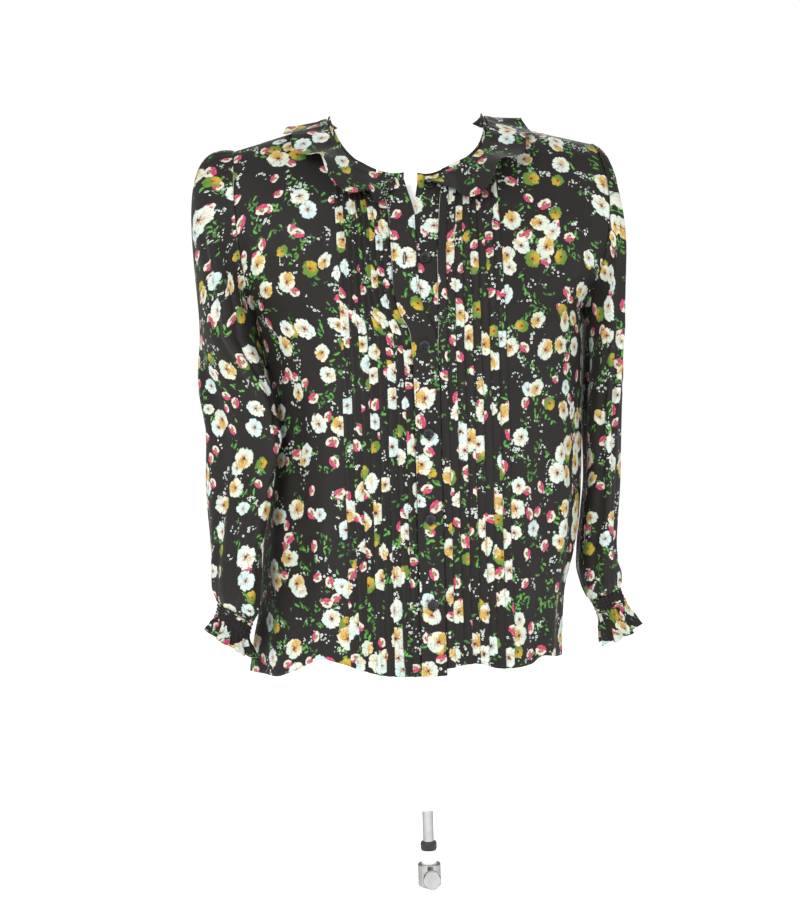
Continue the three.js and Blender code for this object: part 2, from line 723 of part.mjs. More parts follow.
// Binding: a narrow band standing on the neckline between the two plackets.
const bindingHeight = 7;
const bindingFoot = 2.2;
const bindingLean = 0.45;
const bindingStart = placketHalf + seamGap;
const bindingColumns = 44;
{
  const offPlacket = neckPath.filter((n) => (n.along ?? neckSideX) > bindingStart);
  const first = offPlacket[0].run;
  const final = offPlacket[offPlacket.length - 1].run;
  const grid = [bindingFoot, lerp(bindingFoot, bindingHeight, 0.5), bindingHeight].map((height) =>
    Array.from({ length: bindingColumns + 1 }, (_, j) => {
      const { point, out } = neckAt(lerp(first, final, j / bindingColumns));
      const stand = unit(plus([0, 0, 1], out, -bindingLean));
      return plus(point, stand, height);
    }),
  );
  add("neck_binding", wall(grid, { thickness: placketCloth }), "print");
}

// Frill: gathered at the neckline, with waves that grow towards its free edge.
const frillWidth = 42;
const frillWaves = 12;
const frillPerWave = 8;
const frillRise = 4.6;
const frillReach = { low: 1.12, high: 0.84 };
const frillLean = 4;
const frillFoot = { placket: 2.2, binding: 1.85, cloth: 3.1 };
const frillFootUp = 2.6;
const frillTilt = 0.8;
const frillGrowth = 0.8;
const frillUneven = { share: 0.3, every: 23 };
const frillEnds = {
  right: { start: 0.35, from: 0, reach: 12 },
  left: { start: 0.12, from: 4, reach: 26 },
};
const footReach = 0.14;
const footRiseReach = 0.2;
const placketReach = { from: 15, fade: 5 };
const frillRows = [0, 0.14, 0.36, 0.6, 0.82, 1];
{
  const count = frillWaves * frillPerWave;
  const width = (length) => {
    const share = (end, from) => lerp(end.start, 1, ease((from - end.from) / end.reach));
    const fromLeft = share(frillEnds.left, neckLength - length);
    return frillWidth * Math.min(share(frillEnds.right, length), fromLeft);
  };
  const grid = frillRows.map((t) =>
    Array.from({ length: count + 1 }, (_, j) => {
      const length = (neckLength * j) / count;
      const { point, normal, out } = neckAt(length);
      const phase = (2 * Math.PI * j) / frillPerWave;
      const size = width(length) / frillWidth;
      const uneven = 1 + frillUneven.share * Math.sin(length / frillUneven.every);
      const crest = (1 - Math.cos(phase)) / 2;
      const wave = 2 * frillRise * uneven * size * t ** frillGrowth * crest;
      const reach = width(length) * t * lerp(frillReach.low, frillReach.high, crest * t);
      const along = cross(out, normal);
      const lean = frillLean * Math.sin(phase) * t * size;
      const fromEnd = Math.min(length, neckLength - length);
      const overPlacket = 1 - ease((fromEnd - placketReach.from) / placketReach.fade);
      const foot = lerp(frillFoot.binding, frillFoot.placket, overPlacket);
      const height = lerp(foot, frillFoot.cloth, ease(t / footReach)) + frillTilt * t + wave;
      const up = plus([0, 0, frillFootUp * (1 - ease(t / footRiseReach))], normal, height);
      return plus(plus(plus(point, out, reach), along, lean), up);
    }),
  );
  add("collar_frill", wall(grid, { thickness: frillCloth, sign: -1 }), "print");
}

// The limbless form: level rings with their own front and back depths.
const formRings = [
  { z: 267, half: 118, front: 84, back: 92, square: 2.3 },
  { z: 290, half: 128, front: 92, back: 100, square: 2.3 },
  { z: 350, half: 136, front: 96, back: 102, square: 2.3 },
  { z: 415, half: 140, front: 97, back: 99, square: 2.3 },
  { z: 480, half: 136, front: 93, back: 94, square: 2.3 },
  { z: 545, half: 124, front: 88, back: 88, square: 2.3 },
  { z: 600, half: 117, front: 87, back: 86, square: 2.3 },
  { z: 650, half: 122, front: 94, back: 90, square: 2.3 },
  { z: 700, half: 133, front: 108, back: 97, square: 2.3 },
  { z: 740, half: 143, front: 117, back: 103, square: 2.3 },
  { z: 775, half: 150, front: 118, back: 106, square: 2.3 },
  { z: 810, half: 155, front: 112, back: 106, square: 2.3 },
  { z: 845, half: 158, front: 99, back: 102, square: 2.4 },
  { z: 880, half: 161, front: 82, back: 96, square: 2.5 },
  { z: 910, half: 164, front: 64, back: 87, square: 2.5 },
  { z: 935, half: 164, front: 46, back: 72, square: 2.4 },
  { z: 952, half: 154, front: 33, back: 58, square: 2.3 },
  { z: 964, half: 136, front: 27, back: 46, square: 2.2 },
  { z: 975, half: 106, front: 24.6, back: 39.6, square: 2.1 },
  { z: 983, half: 77, front: 31.6, back: 41.6, square: 2 },
  { z: 992, half: 62, front: 38, back: 48, square: 2 },
  { z: 1010, half: 57, front: 43, back: 53, square: 2 },
  { z: 1058, half: 56, front: 46, back: 56, square: 2 },
  { z: 1062, half: 52, front: 42, back: 52, square: 2 },
];
const formColumns = 40;
function closedForm(rings, across) {
  const positions = [];
  for (const ring of rings)
    for (let j = 0; j < across; j += 1) {
      const a = (2 * Math.PI * j) / across;
      const power = 2 / ring.square;
      const x = ring.half * Math.sign(Math.cos(a)) * Math.abs(Math.cos(a)) ** power;
      const depth = Math.sin(a) > 0 ? ring.back : ring.front;
      positions.push(x, depth * Math.sign(Math.sin(a)) * Math.abs(Math.sin(a)) ** power, ring.z);
    }
  const low = positions.length / 3;
  positions.push(0, 0, rings[0].z, 0, 0, rings[rings.length - 1].z);
  const triangles = [];
  for (let i = 0; i < rings.length - 1; i += 1)
    for (let j = 0; j < across; j += 1) {
      const [a, b] = [i * across + j, i * across + ((j + 1) % across)];
      triangles.push(a, b, b + across, a, b + across, a + across);
    }
  const top = (rings.length - 1) * across;
  for (let j = 0; j < across; j += 1) {
    const next = (j + 1) % across;
    triangles.push(low, next, j, low + 1, top + j, top + next);
  }
  return geometryOf(positions, triangles);
}
add("form_torso", closedForm(formRings, formColumns), "form");

// The stand: base plate, lower tube, clamp with its knob, ring and rod, each turned.
const rodRadius = 6;
const tubeRadius = 8.2;
const baseRadius = 140;
const baseTop = 14;
const clampZ = 178;
const clampHalf = 12;
const clampRadius = 12.6;
const knobReach = 15.5;
const knobRadius = 10;
const ringZ = 205;
const ringTop = ringZ + 9;
const formBottom = formRings[0].z;
const roundSegments = 24;
const turned = (profile, segments) =>
  new THREE.LatheGeometry(
    profile.map(([r, h]) => new THREE.Vector2(r, h)),
    segments,
  ).rotateX(Math.PI / 2);
const post = (radius, low, high) =>
  turned([[0, low], [radius, low], [radius, high], [0, high]], roundSegments);
const baseProfile = [
  [0, 0],
  [baseRadius - 1, 0],
  [baseRadius, 2],
  [baseRadius - 1, 6],
  [26, 9],
  [16, baseTop],
  [0, baseTop],
];
const ringProfile = [
  [0, ringZ],
  [tubeRadius, ringZ],
  [8.9, ringZ + 2],
  [8.9, ringTop - 2],
  [tubeRadius, ringTop],
  [0, ringTop],
];
const clampInner = tubeRadius + seamGap;
const clampProfile = [
  [clampInner, clampZ - clampHalf],
  [clampRadius - 0.6, clampZ - clampHalf],
  [clampRadius, clampZ - clampHalf + 1],
  [clampRadius, clampZ + clampHalf - 1],
  [clampRadius - 0.6, clampZ + clampHalf],
  [clampInner, clampZ + clampHalf],
  [clampInner, clampZ - clampHalf],
];
const knobProfile = [
  [0, 0],
  [3.4, 0],
  [3.4, 9],
  [knobRadius - 1, 9],
  [knobRadius, 10.5],
  [knobRadius, knobReach - 1.5],
  [knobRadius - 1, knobReach],
  [0, knobReach],
];
add("form_base", turned(baseProfile, 48), "enamel");
add("form_tube", post(tubeRadius, baseTop + seamGap, ringZ - seamGap), "enamel");
add("form_ring", turned(ringProfile, roundSegments), "ring");
add("form_rod", post(rodRadius, ringTop + seamGap, formBottom - seamGap), "chrome");
add("form_clamp", turned(clampProfile, roundSegments), "chrome");
const knob = turned(knobProfile, roundSegments).rotateX(Math.PI / 2);
knob.translate(0, -clampRadius - seamGap, clampZ);
add("form_knob", knob, "chrome");

export default blouse;
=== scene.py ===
# A long-sleeved floral blouse on a limbless form with a pole stand: the looks.
# Sizes in the tables are millimetres, +Z up; meshes are made in metres.
# "right" and "left" are the wearer's: the right side lies towards -X.
import math

import bpy
import numpy as np
from mathutils import Matrix, Vector


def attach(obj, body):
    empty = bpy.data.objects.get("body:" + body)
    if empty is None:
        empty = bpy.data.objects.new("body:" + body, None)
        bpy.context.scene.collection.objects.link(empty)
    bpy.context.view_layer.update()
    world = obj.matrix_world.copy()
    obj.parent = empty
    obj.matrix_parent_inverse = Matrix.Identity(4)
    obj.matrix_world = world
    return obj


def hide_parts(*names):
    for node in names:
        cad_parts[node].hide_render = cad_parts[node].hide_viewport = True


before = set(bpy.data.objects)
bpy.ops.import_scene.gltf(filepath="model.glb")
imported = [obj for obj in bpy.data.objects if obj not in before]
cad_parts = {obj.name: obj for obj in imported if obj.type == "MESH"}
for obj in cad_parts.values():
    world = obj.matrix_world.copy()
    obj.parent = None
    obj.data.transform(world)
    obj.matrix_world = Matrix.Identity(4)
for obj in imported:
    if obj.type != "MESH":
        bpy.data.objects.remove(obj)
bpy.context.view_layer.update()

mm = 0.001
scene = bpy.context.scene


def lerp(a, b, t):
    return a + (b - a) * t


def ease(t):
    t = np.clip(t, 0, 1)
    return t * t * (3 - 2 * t)


def unit(v):
    return v / np.maximum(np.linalg.norm(v, axis=-1, keepdims=True), 1e-9)


def point(x, y, z):
    return np.stack(np.broadcast_arrays(x, y, z), -1).astype(float)


# A smooth line through a table's column, kept from overshooting its rows.
def smoothLine(x, y):
    step = np.diff(y) / np.diff(x)
    before, after = np.r_[step[0], step], np.r_[step, step[-1]]
    total = np.where(before + after == 0, 1, before + after)
    slope = np.where(before * after > 0, 2 * before * after / total, 0)

    def read(at):
        at = np.clip(at, x[0], x[-1])
        i = np.clip(np.searchsorted(x, at, side="right") - 1, 0, len(x) - 2)
        span = x[i + 1] - x[i]
        t = (at - x[i]) / span
        start = y[i] * (1 + 2 * t) * (1 - t) ** 2 + slope[i] * span * t * (1 - t) ** 2
        end = y[i + 1] * t * t * (3 - 2 * t) + slope[i + 1] * span * t * t * (t - 1)
        return start + end

    return read


def table(names, rows):
    data = np.array(rows, float)
    return {name: smoothLine(data[:, 0], data[:, i]) for i, name in enumerate(names.split()) if i}


# Driving sizes, the same as the solids'.
hemZ, underarmZ, shoulderZ = 415, 785, 963
neckSideX, placketHalf, tuckCount = 84, 13, 8
underarmStation, neckDropStation = 0.66, 0.6
midTurn = math.radians(25)
hemReach = 0.3
neckDipReach = 0.45

frontFace = {
    "sign": -1,
    "armholeDepth": 54,
    "neckStation": 0.905,
    "neckRound": 3.2,
    "neckDip": 0.018,
    "lines": table(
        "s midZ midY sideZ sideY turnIn turnOut",
        [
            (0.0, 415, -119, 415, -107, 25, 90),
            (0.25, 560, -124, 558, -112, 25, 90),
            (0.5, 702, -130, 700, -118, 25, 90),
            (0.62, 770, -128, 769, -116, 25, 90),
            (0.74, 838, -113, 840, -103, 22, 68),
            (0.84, 893, -93, 900, -80, 16, 50),
            (0.92, 938, -70, 952, -48, 8, 34),
            (0.97, 970, -42, 981, -20, 4, 28),
            (1.0, 992, 2, 992, 5, 2, 24),
        ],
    ),
}
backFace = {
    "sign": 1,
    "armholeDepth": 58,
    "neckStation": 0.968,
    "neckRound": 3,
    "neckDip": 0,
    "lines": table(
        "s midZ midY sideZ sideY turnIn turnOut",
        [
            (0.0, 415, 118, 415, 106, 25, 90),
            (0.25, 560, 116, 558, 105, 25, 90),
            (0.5, 702, 114, 700, 104, 25, 90),
            (0.62, 770, 113, 769, 104, 25, 90),
            (0.74, 838, 109, 840, 100, 22, 72),
            (0.84, 896, 99, 900, 88, 16, 55),
            (0.92, 944, 80, 952, 62, 8, 38),
            (0.97, 975, 60, 981, 34, 4, 30),
            (1.0, 992, 40, 992, 5.6, 2, 24),
        ],
    ),
}
right = {
    "name": "right",
    "sign": -1,
    "tipX": 184,
    "underX": 169,
    "bulge": 8,
    "capOut": 215,
    "capRise": 1.2,
    "foldPhase": 0.6,
    "sideX": table(
        "z x",
        [
            (415, 182), (445, 178), (480, 171), (545, 165), (609, 161),
            (663, 159), (700, 159), (740, 162), (785, 169),
        ],
    )["x"],
    "hem": table(
        "x lift",
        [(0, -2), (37, -1), (50, 0), (73, 6), (94, 13), (112, 17), (128, 11), (145, 2), (160, -4), (182, -4)],
    )["lift"],
    "open": table(
        "z x",
        [(730, 0), (760, -2), (790, -14), (815, -17), (880, -17), (930, -25), (1000, -25)],
    )["x"],
    "sleeve": table(
        "z x y long short twist raise",
        [
            (480, 199, -42, 32, 17, 18, 0.5),
            (496, 199, -42, 46, 21, 20, 0.42),
            (520, 198, -42, 49, 21, 22, 0.2),
            (545, 197, -42, 51, 19, 25, 0),
            (609, 191.5, -42, 55, 19.5, 35, 0),
            (663, 186.5, -44, 58, 19, 38, 0),
            (700, 190, -34, 59, 22, 34, 0),
            (735, 194.5, -16, 61, 25, 22, 0),
            (765, 198.5, -3, 63, 26.7, 10, 0),
        ],
    ),
    "cuff": table(
        "w z x y long short twist raise shirr wave",
        [
            (0, 479, 199.4, -42.6, 30, 16, 18, 0.5, 1, 0),
            (0.3, 469, 202, -43, 26, 15.5, 18, 0.6, 1, 0),
            (0.55, 461, 204, -43, 26.5, 16.5, 18, 0.62, 1, 0.1),
            (0.78, 453, 204.5, -45, 30, 20, 18, 0.6, 0.5, 0.6),
            (1, 445, 205, -46, 34, 23, 18, 0.6, 0.2, 1),
        ],
    ),
}
left = {
    "name": "left",
    "sign": 1,
    "tipX": 200,
    "underX": 184.5,
    "bulge": 15,
    "capOut": 115,
    "capRise": 0.8,
    "foldPhase": 2.4,
    "sideX": table(
        "z x",
        [
            (415, 149), (480, 153), (525, 165), (560, 172), (609, 176.5),
            (663, 178.5), (700, 179.5), (740, 181.5), (785, 184.5),
        ],
    )["x"],
    "hem": table(
        "x lift",
        [(0, 4), (12, 5), (42, 9), (68, 2), (87, 1), (106, 2), (117, 9), (128, 6), (143, 1), (150, 0)],
    )["lift"],
    "open": table(
        "z x",
        [(745, 0), (790, 2), (840, 4), (900, 11), (930, 15), (1000, 15)],
    )["x"],
    "sleeve": table(
        "z x y long short twist raise",
        [
            (478, 202, 8, 31, 17, 0, 0.4),
            (492, 199, 8, 42, 20.5, 0, 0.3),
            (510, 195, 8, 46, 21.5, 0, 0.15),
            (528, 195, 8, 49, 20.5, 1, 0),
            (560, 198, 8, 52, 19.5, 3, 0),
            (609, 202, 8, 56, 18.5, 4, 0),
            (663, 202.4, 7, 59, 18.5, 3, 0),
            (735, 205, 4, 62, 18, 1, 0),
            (765, 206.5, 2, 64, 18, 0, 0),
        ],
    ),
    "cuff": table(
        "w z x y long short twist raise shirr wave",
        [
            (0, 477, 202.4, 8, 29, 16, 0, 0.42, 1, 0),
            (0.3, 467, 206.5, 8, 25, 14.5, 0, 0.5, 1, 0),
            (0.55, 457, 210.5, 8, 25, 14.5, 0, 0.55, 1, 0.1),
            (0.78, 444, 214.5, 8, 29, 16.5, 0, 0.54, 0.5, 0.6),
            (1, 431, 218, 8, 33, 18, 0, 0.54, 0.2, 1),
        ],
    ),
}


# The armhole seam: angle 0 at the shoulder tip, pi at the underarm.
def armhole(side, face, angle):
    c = (1 + np.cos(angle)) / 2
    s = np.abs(np.sin(angle))
    return point(
        side["sign"] * (lerp(side["underX"], side["tipX"], c) + side["bulge"] * s * s),
        lerp(2, 8, c) + face["sign"] * face["armholeDepth"] * s,
        lerp(underarmZ, shoulderZ, c),
    )


def outerEdge(face, side, s):
    high = armhole(side, face, np.pi * (1 - (s - underarmStation) / (1 - underarmStation)))
    z = lerp(hemZ, underarmZ, s / underarmStation)
    low = point(side["sign"] * side["sideX"](z), lerp(-3, 2, s / underarmStation), z)
    return np.where((s > underarmStation)[..., None], high, low)


# Soft drape folds run round the body and fade out towards the bust.
drapeFolds = {"topZ": 752, "depth": 5.2}


def drape(around, z):
    hang = np.clip((drapeFolds["topZ"] - z) / (drapeFolds["topZ"] - hemZ), 0, 1) ** 1.3
    clear = ease((np.abs(around) - math.radians(26)) / math.radians(22))
    folds = 0.55 * np.cos(13 * around + 0.9) + 0.45 * np.cos(8 * around - 1.2 + (z - hemZ) / 420)
    return drapeFolds["depth"] * hang * clear * folds


# A point of the body cloth. u runs from the centre (0) to the neck's side line (1) and on to
# the side seam or armhole (2); s from the hem (0) to the shoulder seam (1).
def body(face, side, u, s):
    u, s = (np.array(a, float) for a in np.broadcast_arrays(u, s))
    lines, sign = face["lines"], side["sign"]
    inner = np.clip(u, 0, 1)
    power = face["neckRound"]
    neck = 1 - (1 - face["neckStation"]) * (1 - inner**power) ** (1 / power)
    neck = neck - face["neckDip"] * (1 - ease(inner / neckDipReach))
    at = s - (1 - neck) * np.clip((s - neckDropStation) / (1 - neckDropStation), 0, 1)
    turn = np.arcsin(inner * math.sin(midTurn))
    f = (1 - np.cos(turn)) / (1 - math.cos(midTurn))
    near = point(
        sign * inner * neckSideX,
        lerp(lines["midY"](at), lines["sideY"](at), f),
        lerp(lines["midZ"](at), lines["sideZ"](at), f),
    )
    t = np.clip(u - 1, 0, 1)
    inside = point(sign * neckSideX + 0 * s, lines["sideY"](s), lines["sideZ"](s))
    outside = outerEdge(face, side, s)
    first, final = np.radians(lines["turnIn"](s)), np.radians(lines["turnOut"](s))
    turn = lerp(first, final, t)
    fx = (np.sin(turn) - np.sin(first)) / (np.sin(final) - np.sin(first))
    fy = (np.cos(first) - np.cos(turn)) / (np.cos(first) - np.cos(final))
    far = inside + (outside - inside) * np.stack([fx, fy, fx], -1)
    isNear = u <= 1
    p = np.where(isNear[..., None], near, far)
    around = np.where(isNear, midTurn * inner, lerp(midTurn, np.pi / 2, t))
    if face is backFace:
        around = np.pi - around
        lift = side["hem"](neckSideX * 2.3) * ease(t * 1.2)
    else:
        lift = side["hem"](np.abs(p[..., 0]))
    p = p + point(sign * np.sin(around), -np.cos(around), 0) * drape(sign * around, p[..., 2])[..., None]
    p[..., 2] += lift * (1 - ease(s / hemReach))
    return p


# A point of a front, x mm out from the closed centre line, with the opening at the top.
def frontAt(side, x, s):
    x, s = (np.array(a, float) for a in np.broadcast_arrays(x, s))
    out = np.abs(x)
    flat = body(frontFace, side, np.minimum(out / neckSideX, 1), s)
    fade = 1 - ease((out - placketHalf) / (neckSideX - placketHalf))
    moved = x + side["open"](flat[..., 2]) * fade
    u = np.clip(np.abs(moved) / neckSideX, 0, 1)
    depth = np.where((moved < 0)[..., None], body(frontFace, right, u, s), body(frontFace, left, u, s))
    z = lerp(flat[..., 2], depth[..., 2], 0.3 * ease(s / hemReach))
    return point(moved, depth[..., 1], z)


# A whole front: x up to the neck's side line, then on in the same scale to the side seam.
sideSpan = 125


def frontSurface(side, x, s):
    x, s = (np.array(a, float) for a in np.broadcast_arrays(x, s))
    near = frontAt(side, side["sign"] * np.minimum(x, neckSideX), s)
    far = body(frontFace, side, 1 + np.clip((x - neckSideX) / sideSpan, 1e-6, 1), s)
    return np.where((x <= neckSideX)[..., None], near, far)


def normals(surface, a, b, stepA, stepB):
    along = surface(a + stepA, b) - surface(a - stepA, b)
    up = surface(a, b + stepB) - surface(a, b - stepB)
    return unit(np.cross(along, up))


# Creases, listed one by one. Each row is a line from (a0, b0) to (a1, b1) with a width and a depth;
# it fades out at both ends. stretch says how many units of a make one unit of b.
def creases(a, b, rows, stretch=1):
    total = np.zeros(np.broadcast(a, b).shape)
    for a0, b0, a1, b1, width, depth in rows:
        da, db = (a1 - a0) / stretch, b1 - b0
        length = math.hypot(da, db)
        pa, pb = (a - a0) / stretch, b - b0
        t = (pa * da + pb * db) / length**2
        away = (pa * db - pb * da) / length
        total += depth * np.exp(-((away / width) ** 2)) * ease(t / 0.3) * ease((1 - t) / 0.3)
    return total


# Meshes from grids of points, with the cloth's own lengths as the UV map, in metres.
# level: the height in mm at which every column has the same place on the cloth; middle: the column
# that lies straight on it; strip: the piece was cut as one straight strip.
def clothLengths(p, turned=False, level=None, middle=0, strip=False):
    across = np.linalg.norm(np.diff(p, axis=1), axis=-1)
    down = np.linalg.norm(np.diff(p, axis=0), axis=-1)
    if strip:
        across = np.broadcast_to(across.mean(0), across.shape)
        down = np.broadcast_to(down.mean(1, keepdims=True), down.shape)
    v = np.concatenate([np.zeros((1, p.shape[1])), np.cumsum(down, 0)], 0)
    if level is not None:
        ends = [np.argsort(z) for z in p[..., 2].T]
        v = v - np.array([np.interp(level, z[k], one[k]) for z, one, k in zip(p[..., 2].T, v.T, ends)])
        slope = np.diff(v, axis=1)
        across = np.sqrt(np.maximum(across**2 - slope**2, (0.3 * across) ** 2))
        rows = np.arange(-4, 5)
        near = [np.clip(np.arange(len(across)) + k, 0, len(across) - 1) for k in rows]
        across = np.mean([across[k] for k in near], 0)
    u = np.concatenate([np.zeros((p.shape[0], 1)), np.cumsum(across, 1)], 1)
    u = u - u[:, middle : middle + 1]
    return np.stack([v, u] if turned else [u, v], -1)


grainLevel = 640

# Where on the printed bolt each piece was cut, in mm.
cutAt = {
    "front_right_cloth": (0, 0),
    "front_left_cloth": (431, 37),
    "back_cloth": (870, 11),
    "sleeve_right_cloth": (1373, 83),
    "sleeve_left_cloth": (1811, 59),
    "cuff_right_cloth": (2290, 21),
    "cuff_left_cloth": (2290, 157),
    "placket_right_cloth": (2611, 5),
    "placket_left_cloth": (2691, 5),
    "neck_binding_cloth": (2771, 0),
    "collar_frill_cloth": (2811, 13),
}


def gridMesh(name, p, uv, material, flip=False, ring=False, thick=0.25):
    rows, across = p.shape[:2]
    i, j = np.meshgrid(np.arange(rows - 1), np.arange(across - (0 if ring else 1)), indexing="ij")
    nextJ = (j + 1) % across
    quads = np.stack([i * across + j, i * across + nextJ, (i + 1) * across + nextJ, (i + 1) * across + j], -1)
    quads = quads.reshape(-1, 4)
    uvRows = np.stack([uv[i, j], uv[i, j + 1], uv[i + 1, j + 1], uv[i + 1, j]], -2).reshape(-1, 4, 2)
    if flip:
        quads, uvRows = quads[:, ::-1], uvRows[:, ::-1]
    mesh = bpy.data.meshes.new(name)
    mesh.from_pydata((p.reshape(-1, 3) * mm).tolist(), [], quads.tolist())
    uvRows = uvRows + np.array(cutAt.get(name, (0, 0)))
    layer = mesh.uv_layers.new(name="UVMap")
    layer.data.foreach_set("uv", (uvRows * mm).reshape(-1).astype(np.float32))
    mesh.polygons.foreach_set("use_smooth", [True] * len(mesh.polygons))
    mesh.materials.append(material)
    mesh.update()
    piece = bpy.data.objects.new(name, mesh)
    scene.collection.objects.link(piece)
    if thick:
        shell = piece.modifiers.new("thickness", "SOLIDIFY")
        shell.thickness = thick * mm
        shell.offset = 0
    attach(piece, "root")
    return piece


def closed(p):
    return np.concatenate([p, p[:, :1]], 1)


def gridNormals(p, sign, ring=False):
    wide = np.concatenate([p[:, -1:], p, p[:, :1]], 1) if ring else p
    along = np.gradient(wide, axis=1)[:, 1:-1] if ring else np.gradient(wide, axis=1)
    return unit(np.cross(along, np.gradient(p, axis=0))) * sign


# Fronts: the tucks are real folds, so the print breaks at each one. Each row of fold is how far
# out from the stitch line and how high over the cloth.
fronts = {
    "rows": 176,
    "sideColumns": 62,
    "stitchBeforeTip": 4.3,
    "fold": [
        (-1.7, 0.0), (-0.6, 0.45), (0.2, 1.25), (1.5, 1.75), (2.9, 1.7), (3.8, 1.35), (4.1, 0.95),
        (3.8, 0.65), (2.2, 0.55), (0.6, 0.45), (0.3, 0.2), (0.8, 0.0), (2.6, 0.0),
    ],
    "sway": 0.45,
    "hemTurn": 7,
    "creases": {
        "right": [
            (-96, 700, -112, 452, 10, 3.4),
            (-128, 742, -134, 500, 9, -3.0),
            (-150, 690, -160, 430, 8, 3.2),
            (-60, 640, -66, 425, 12, -2.0),
            (-172, 800, -118, 742, 9, 2.6),
            (-168, 832, -128, 812, 7, -1.8),
            (-176, 872, -150, 800, 7, 2.4),
            (-104, 905, -112, 830, 12, -1.6),
            (-150, 925, -128, 850, 8, 1.6),
            (-40, 505, -92, 452, 8, 1.8),
            (-118, 590, -150, 545, 9, 2.2),
        ],
        "left": [
            (92, 690, 104, 440, 10, 3.0),
            (120, 735, 128, 520, 8, -2.8),
            (140, 700, 142, 440, 8, 3.2),
            (58, 620, 66, 430, 11, -2.0),
            (176, 812, 122, 752, 9, 2.6),
            (170, 842, 126, 818, 7, -1.6),
            (188, 880, 160, 806, 7, 2.2),
            (100, 900, 106, 836, 12, -1.4),
            (152, 930, 134, 862, 8, 1.6),
            (36, 520, 88, 470, 8, 1.6),
            (160, 610, 132, 560, 9, 2.0),
        ],
    },
}


def stationsFor(rows):
    return np.linspace(0, 1, rows)[:, None]


def buildFront(side, material):
    pitch = (neckSideX - placketHalf) / tuckCount
    x, height, tuck = [placketHalf], [0.0], [0]
    for k in range(tuckCount):
        stitch = placketHalf + (k + 1) * pitch - fronts["stitchBeforeTip"]
        for out, high in fronts["fold"]:
            x.append(stitch + out)
            height.append(high)
            tuck.append(k + 1)
    for j in range(fronts["sideColumns"]):
        x.append(lerp(neckSideX, neckSideX + sideSpan, (j + 0.3) / (fronts["sideColumns"] - 0.7)))
        height.append(0.0)
        tuck.append(0)
    x, height, tuck = (np.array(a, float)[None, :] for a in (x, height, tuck))
    s = stationsFor(fronts["rows"])
    z = lerp(hemZ, shoulderZ, s)
    sway = fronts["sway"] * (np.sin(z / 31 + 2.3 * tuck) + 0.5 * np.sin(z / 12 + 4.1 * tuck))
    sway = sway * np.where(tuck > 0, 0.35 + ease((640 - z) / 220), 0)
    lumpy = 1 + 0.22 * np.sin(z / 17 + 3 * tuck) * (0.4 + ease((600 - z) / 180))

    def surface(a, b):
        return frontSurface(side, a, b)

    base = surface(x + sway, s)
    n = normals(surface, x + sway, s, 0.6, 0.004) * side["sign"]
    seam = ease((x[..., -1:] - x) / 14)
    fold = creases(base[..., 0], base[..., 2], fronts["creases"][side["name"]])
    fold = fold * seam * ease((np.abs(base[..., 0]) - 30) / 40)
    turn = 0.3 * (1 - ease((s * 590 - fronts["hemTurn"]) / 2))
    p = base + n * (height * lumpy + fold + turn)[..., None]
    uv = clothLengths(p, level=grainLevel)
    return gridMesh(f"front_{side['name']}_cloth", p, uv, material, flip=side is right)


back = {
    "rows": 150,
    "columns": 150,
    "creases": [
        (-118, 720, -126, 430, 10, 3.2),
        (-84, 660, -90, 425, 12, -2.6),
        (-40, 640, -36, 430, 13, 2.4),
        (6, 700, 2, 430, 12, -2.2),
        (48, 650, 54, 428, 12, 2.8),
        (92, 700, 100, 430, 11, -2.8),
        (128, 730, 136, 440, 9, 3.0),
        (-172, 830, -110, 770, 9, 2.4),
        (178, 836, 118, 778, 9, 2.4),
        (-168, 880, -140, 800, 8, -1.8),
        (182, 884, 150, 806, 8, -1.8),
        (-70, 925, -66, 800, 15, -1.6),
        (72, 922, 64, 790, 15, -1.6),
        (-30, 560, -100, 500, 10, 1.8),
        (34, 590, 104, 520, 10, 1.8),
    ],
}


def buildBack(material):
    a = np.linspace(-2, 2, back["columns"])[None, :]
    s = stationsFor(back["rows"])

    def surface(a, b):
        out = np.abs(a)
        return np.where((a < 0)[..., None], body(backFace, right, out, b), body(backFace, left, out, b))

    base = surface(a, s)
    n = -gridNormals(base, 1)
    fold = creases(base[..., 0], base[..., 2], back["creases"]) * ease((2 - np.abs(a)) / 0.14)
    turn = 0.3 * (1 - ease((s * 590 - fronts["hemTurn"]) / 2))
    p = base + n * (fold + turn)[..., None]
    uv = clothLengths(p, level=grainLevel, middle=back["columns"] // 2)
    return gridMesh("back_cloth", p, uv, material, flip=True)


# Sleeves. A point of a hanging tube's section: angle 0 is the outer edge, a right angle the front.
def section(side, at, angle, swell=0):
    k = np.radians(at["twist"])
    outward = (at["short"] + swell) * np.cos(angle)
    forward = (at["long"] + swell) * np.sin(angle)
    dx = outward * np.cos(k) - forward * np.sin(k)
    dy = -outward * np.sin(k) - forward * np.cos(k)
    return point(side["sign"] * (at["x"] + dx), at["y"] + dy, at["z"] + at["raise"] * dx)


def valuesAt(lines, key):
    return {name: read(key) for name, read in lines.items()}


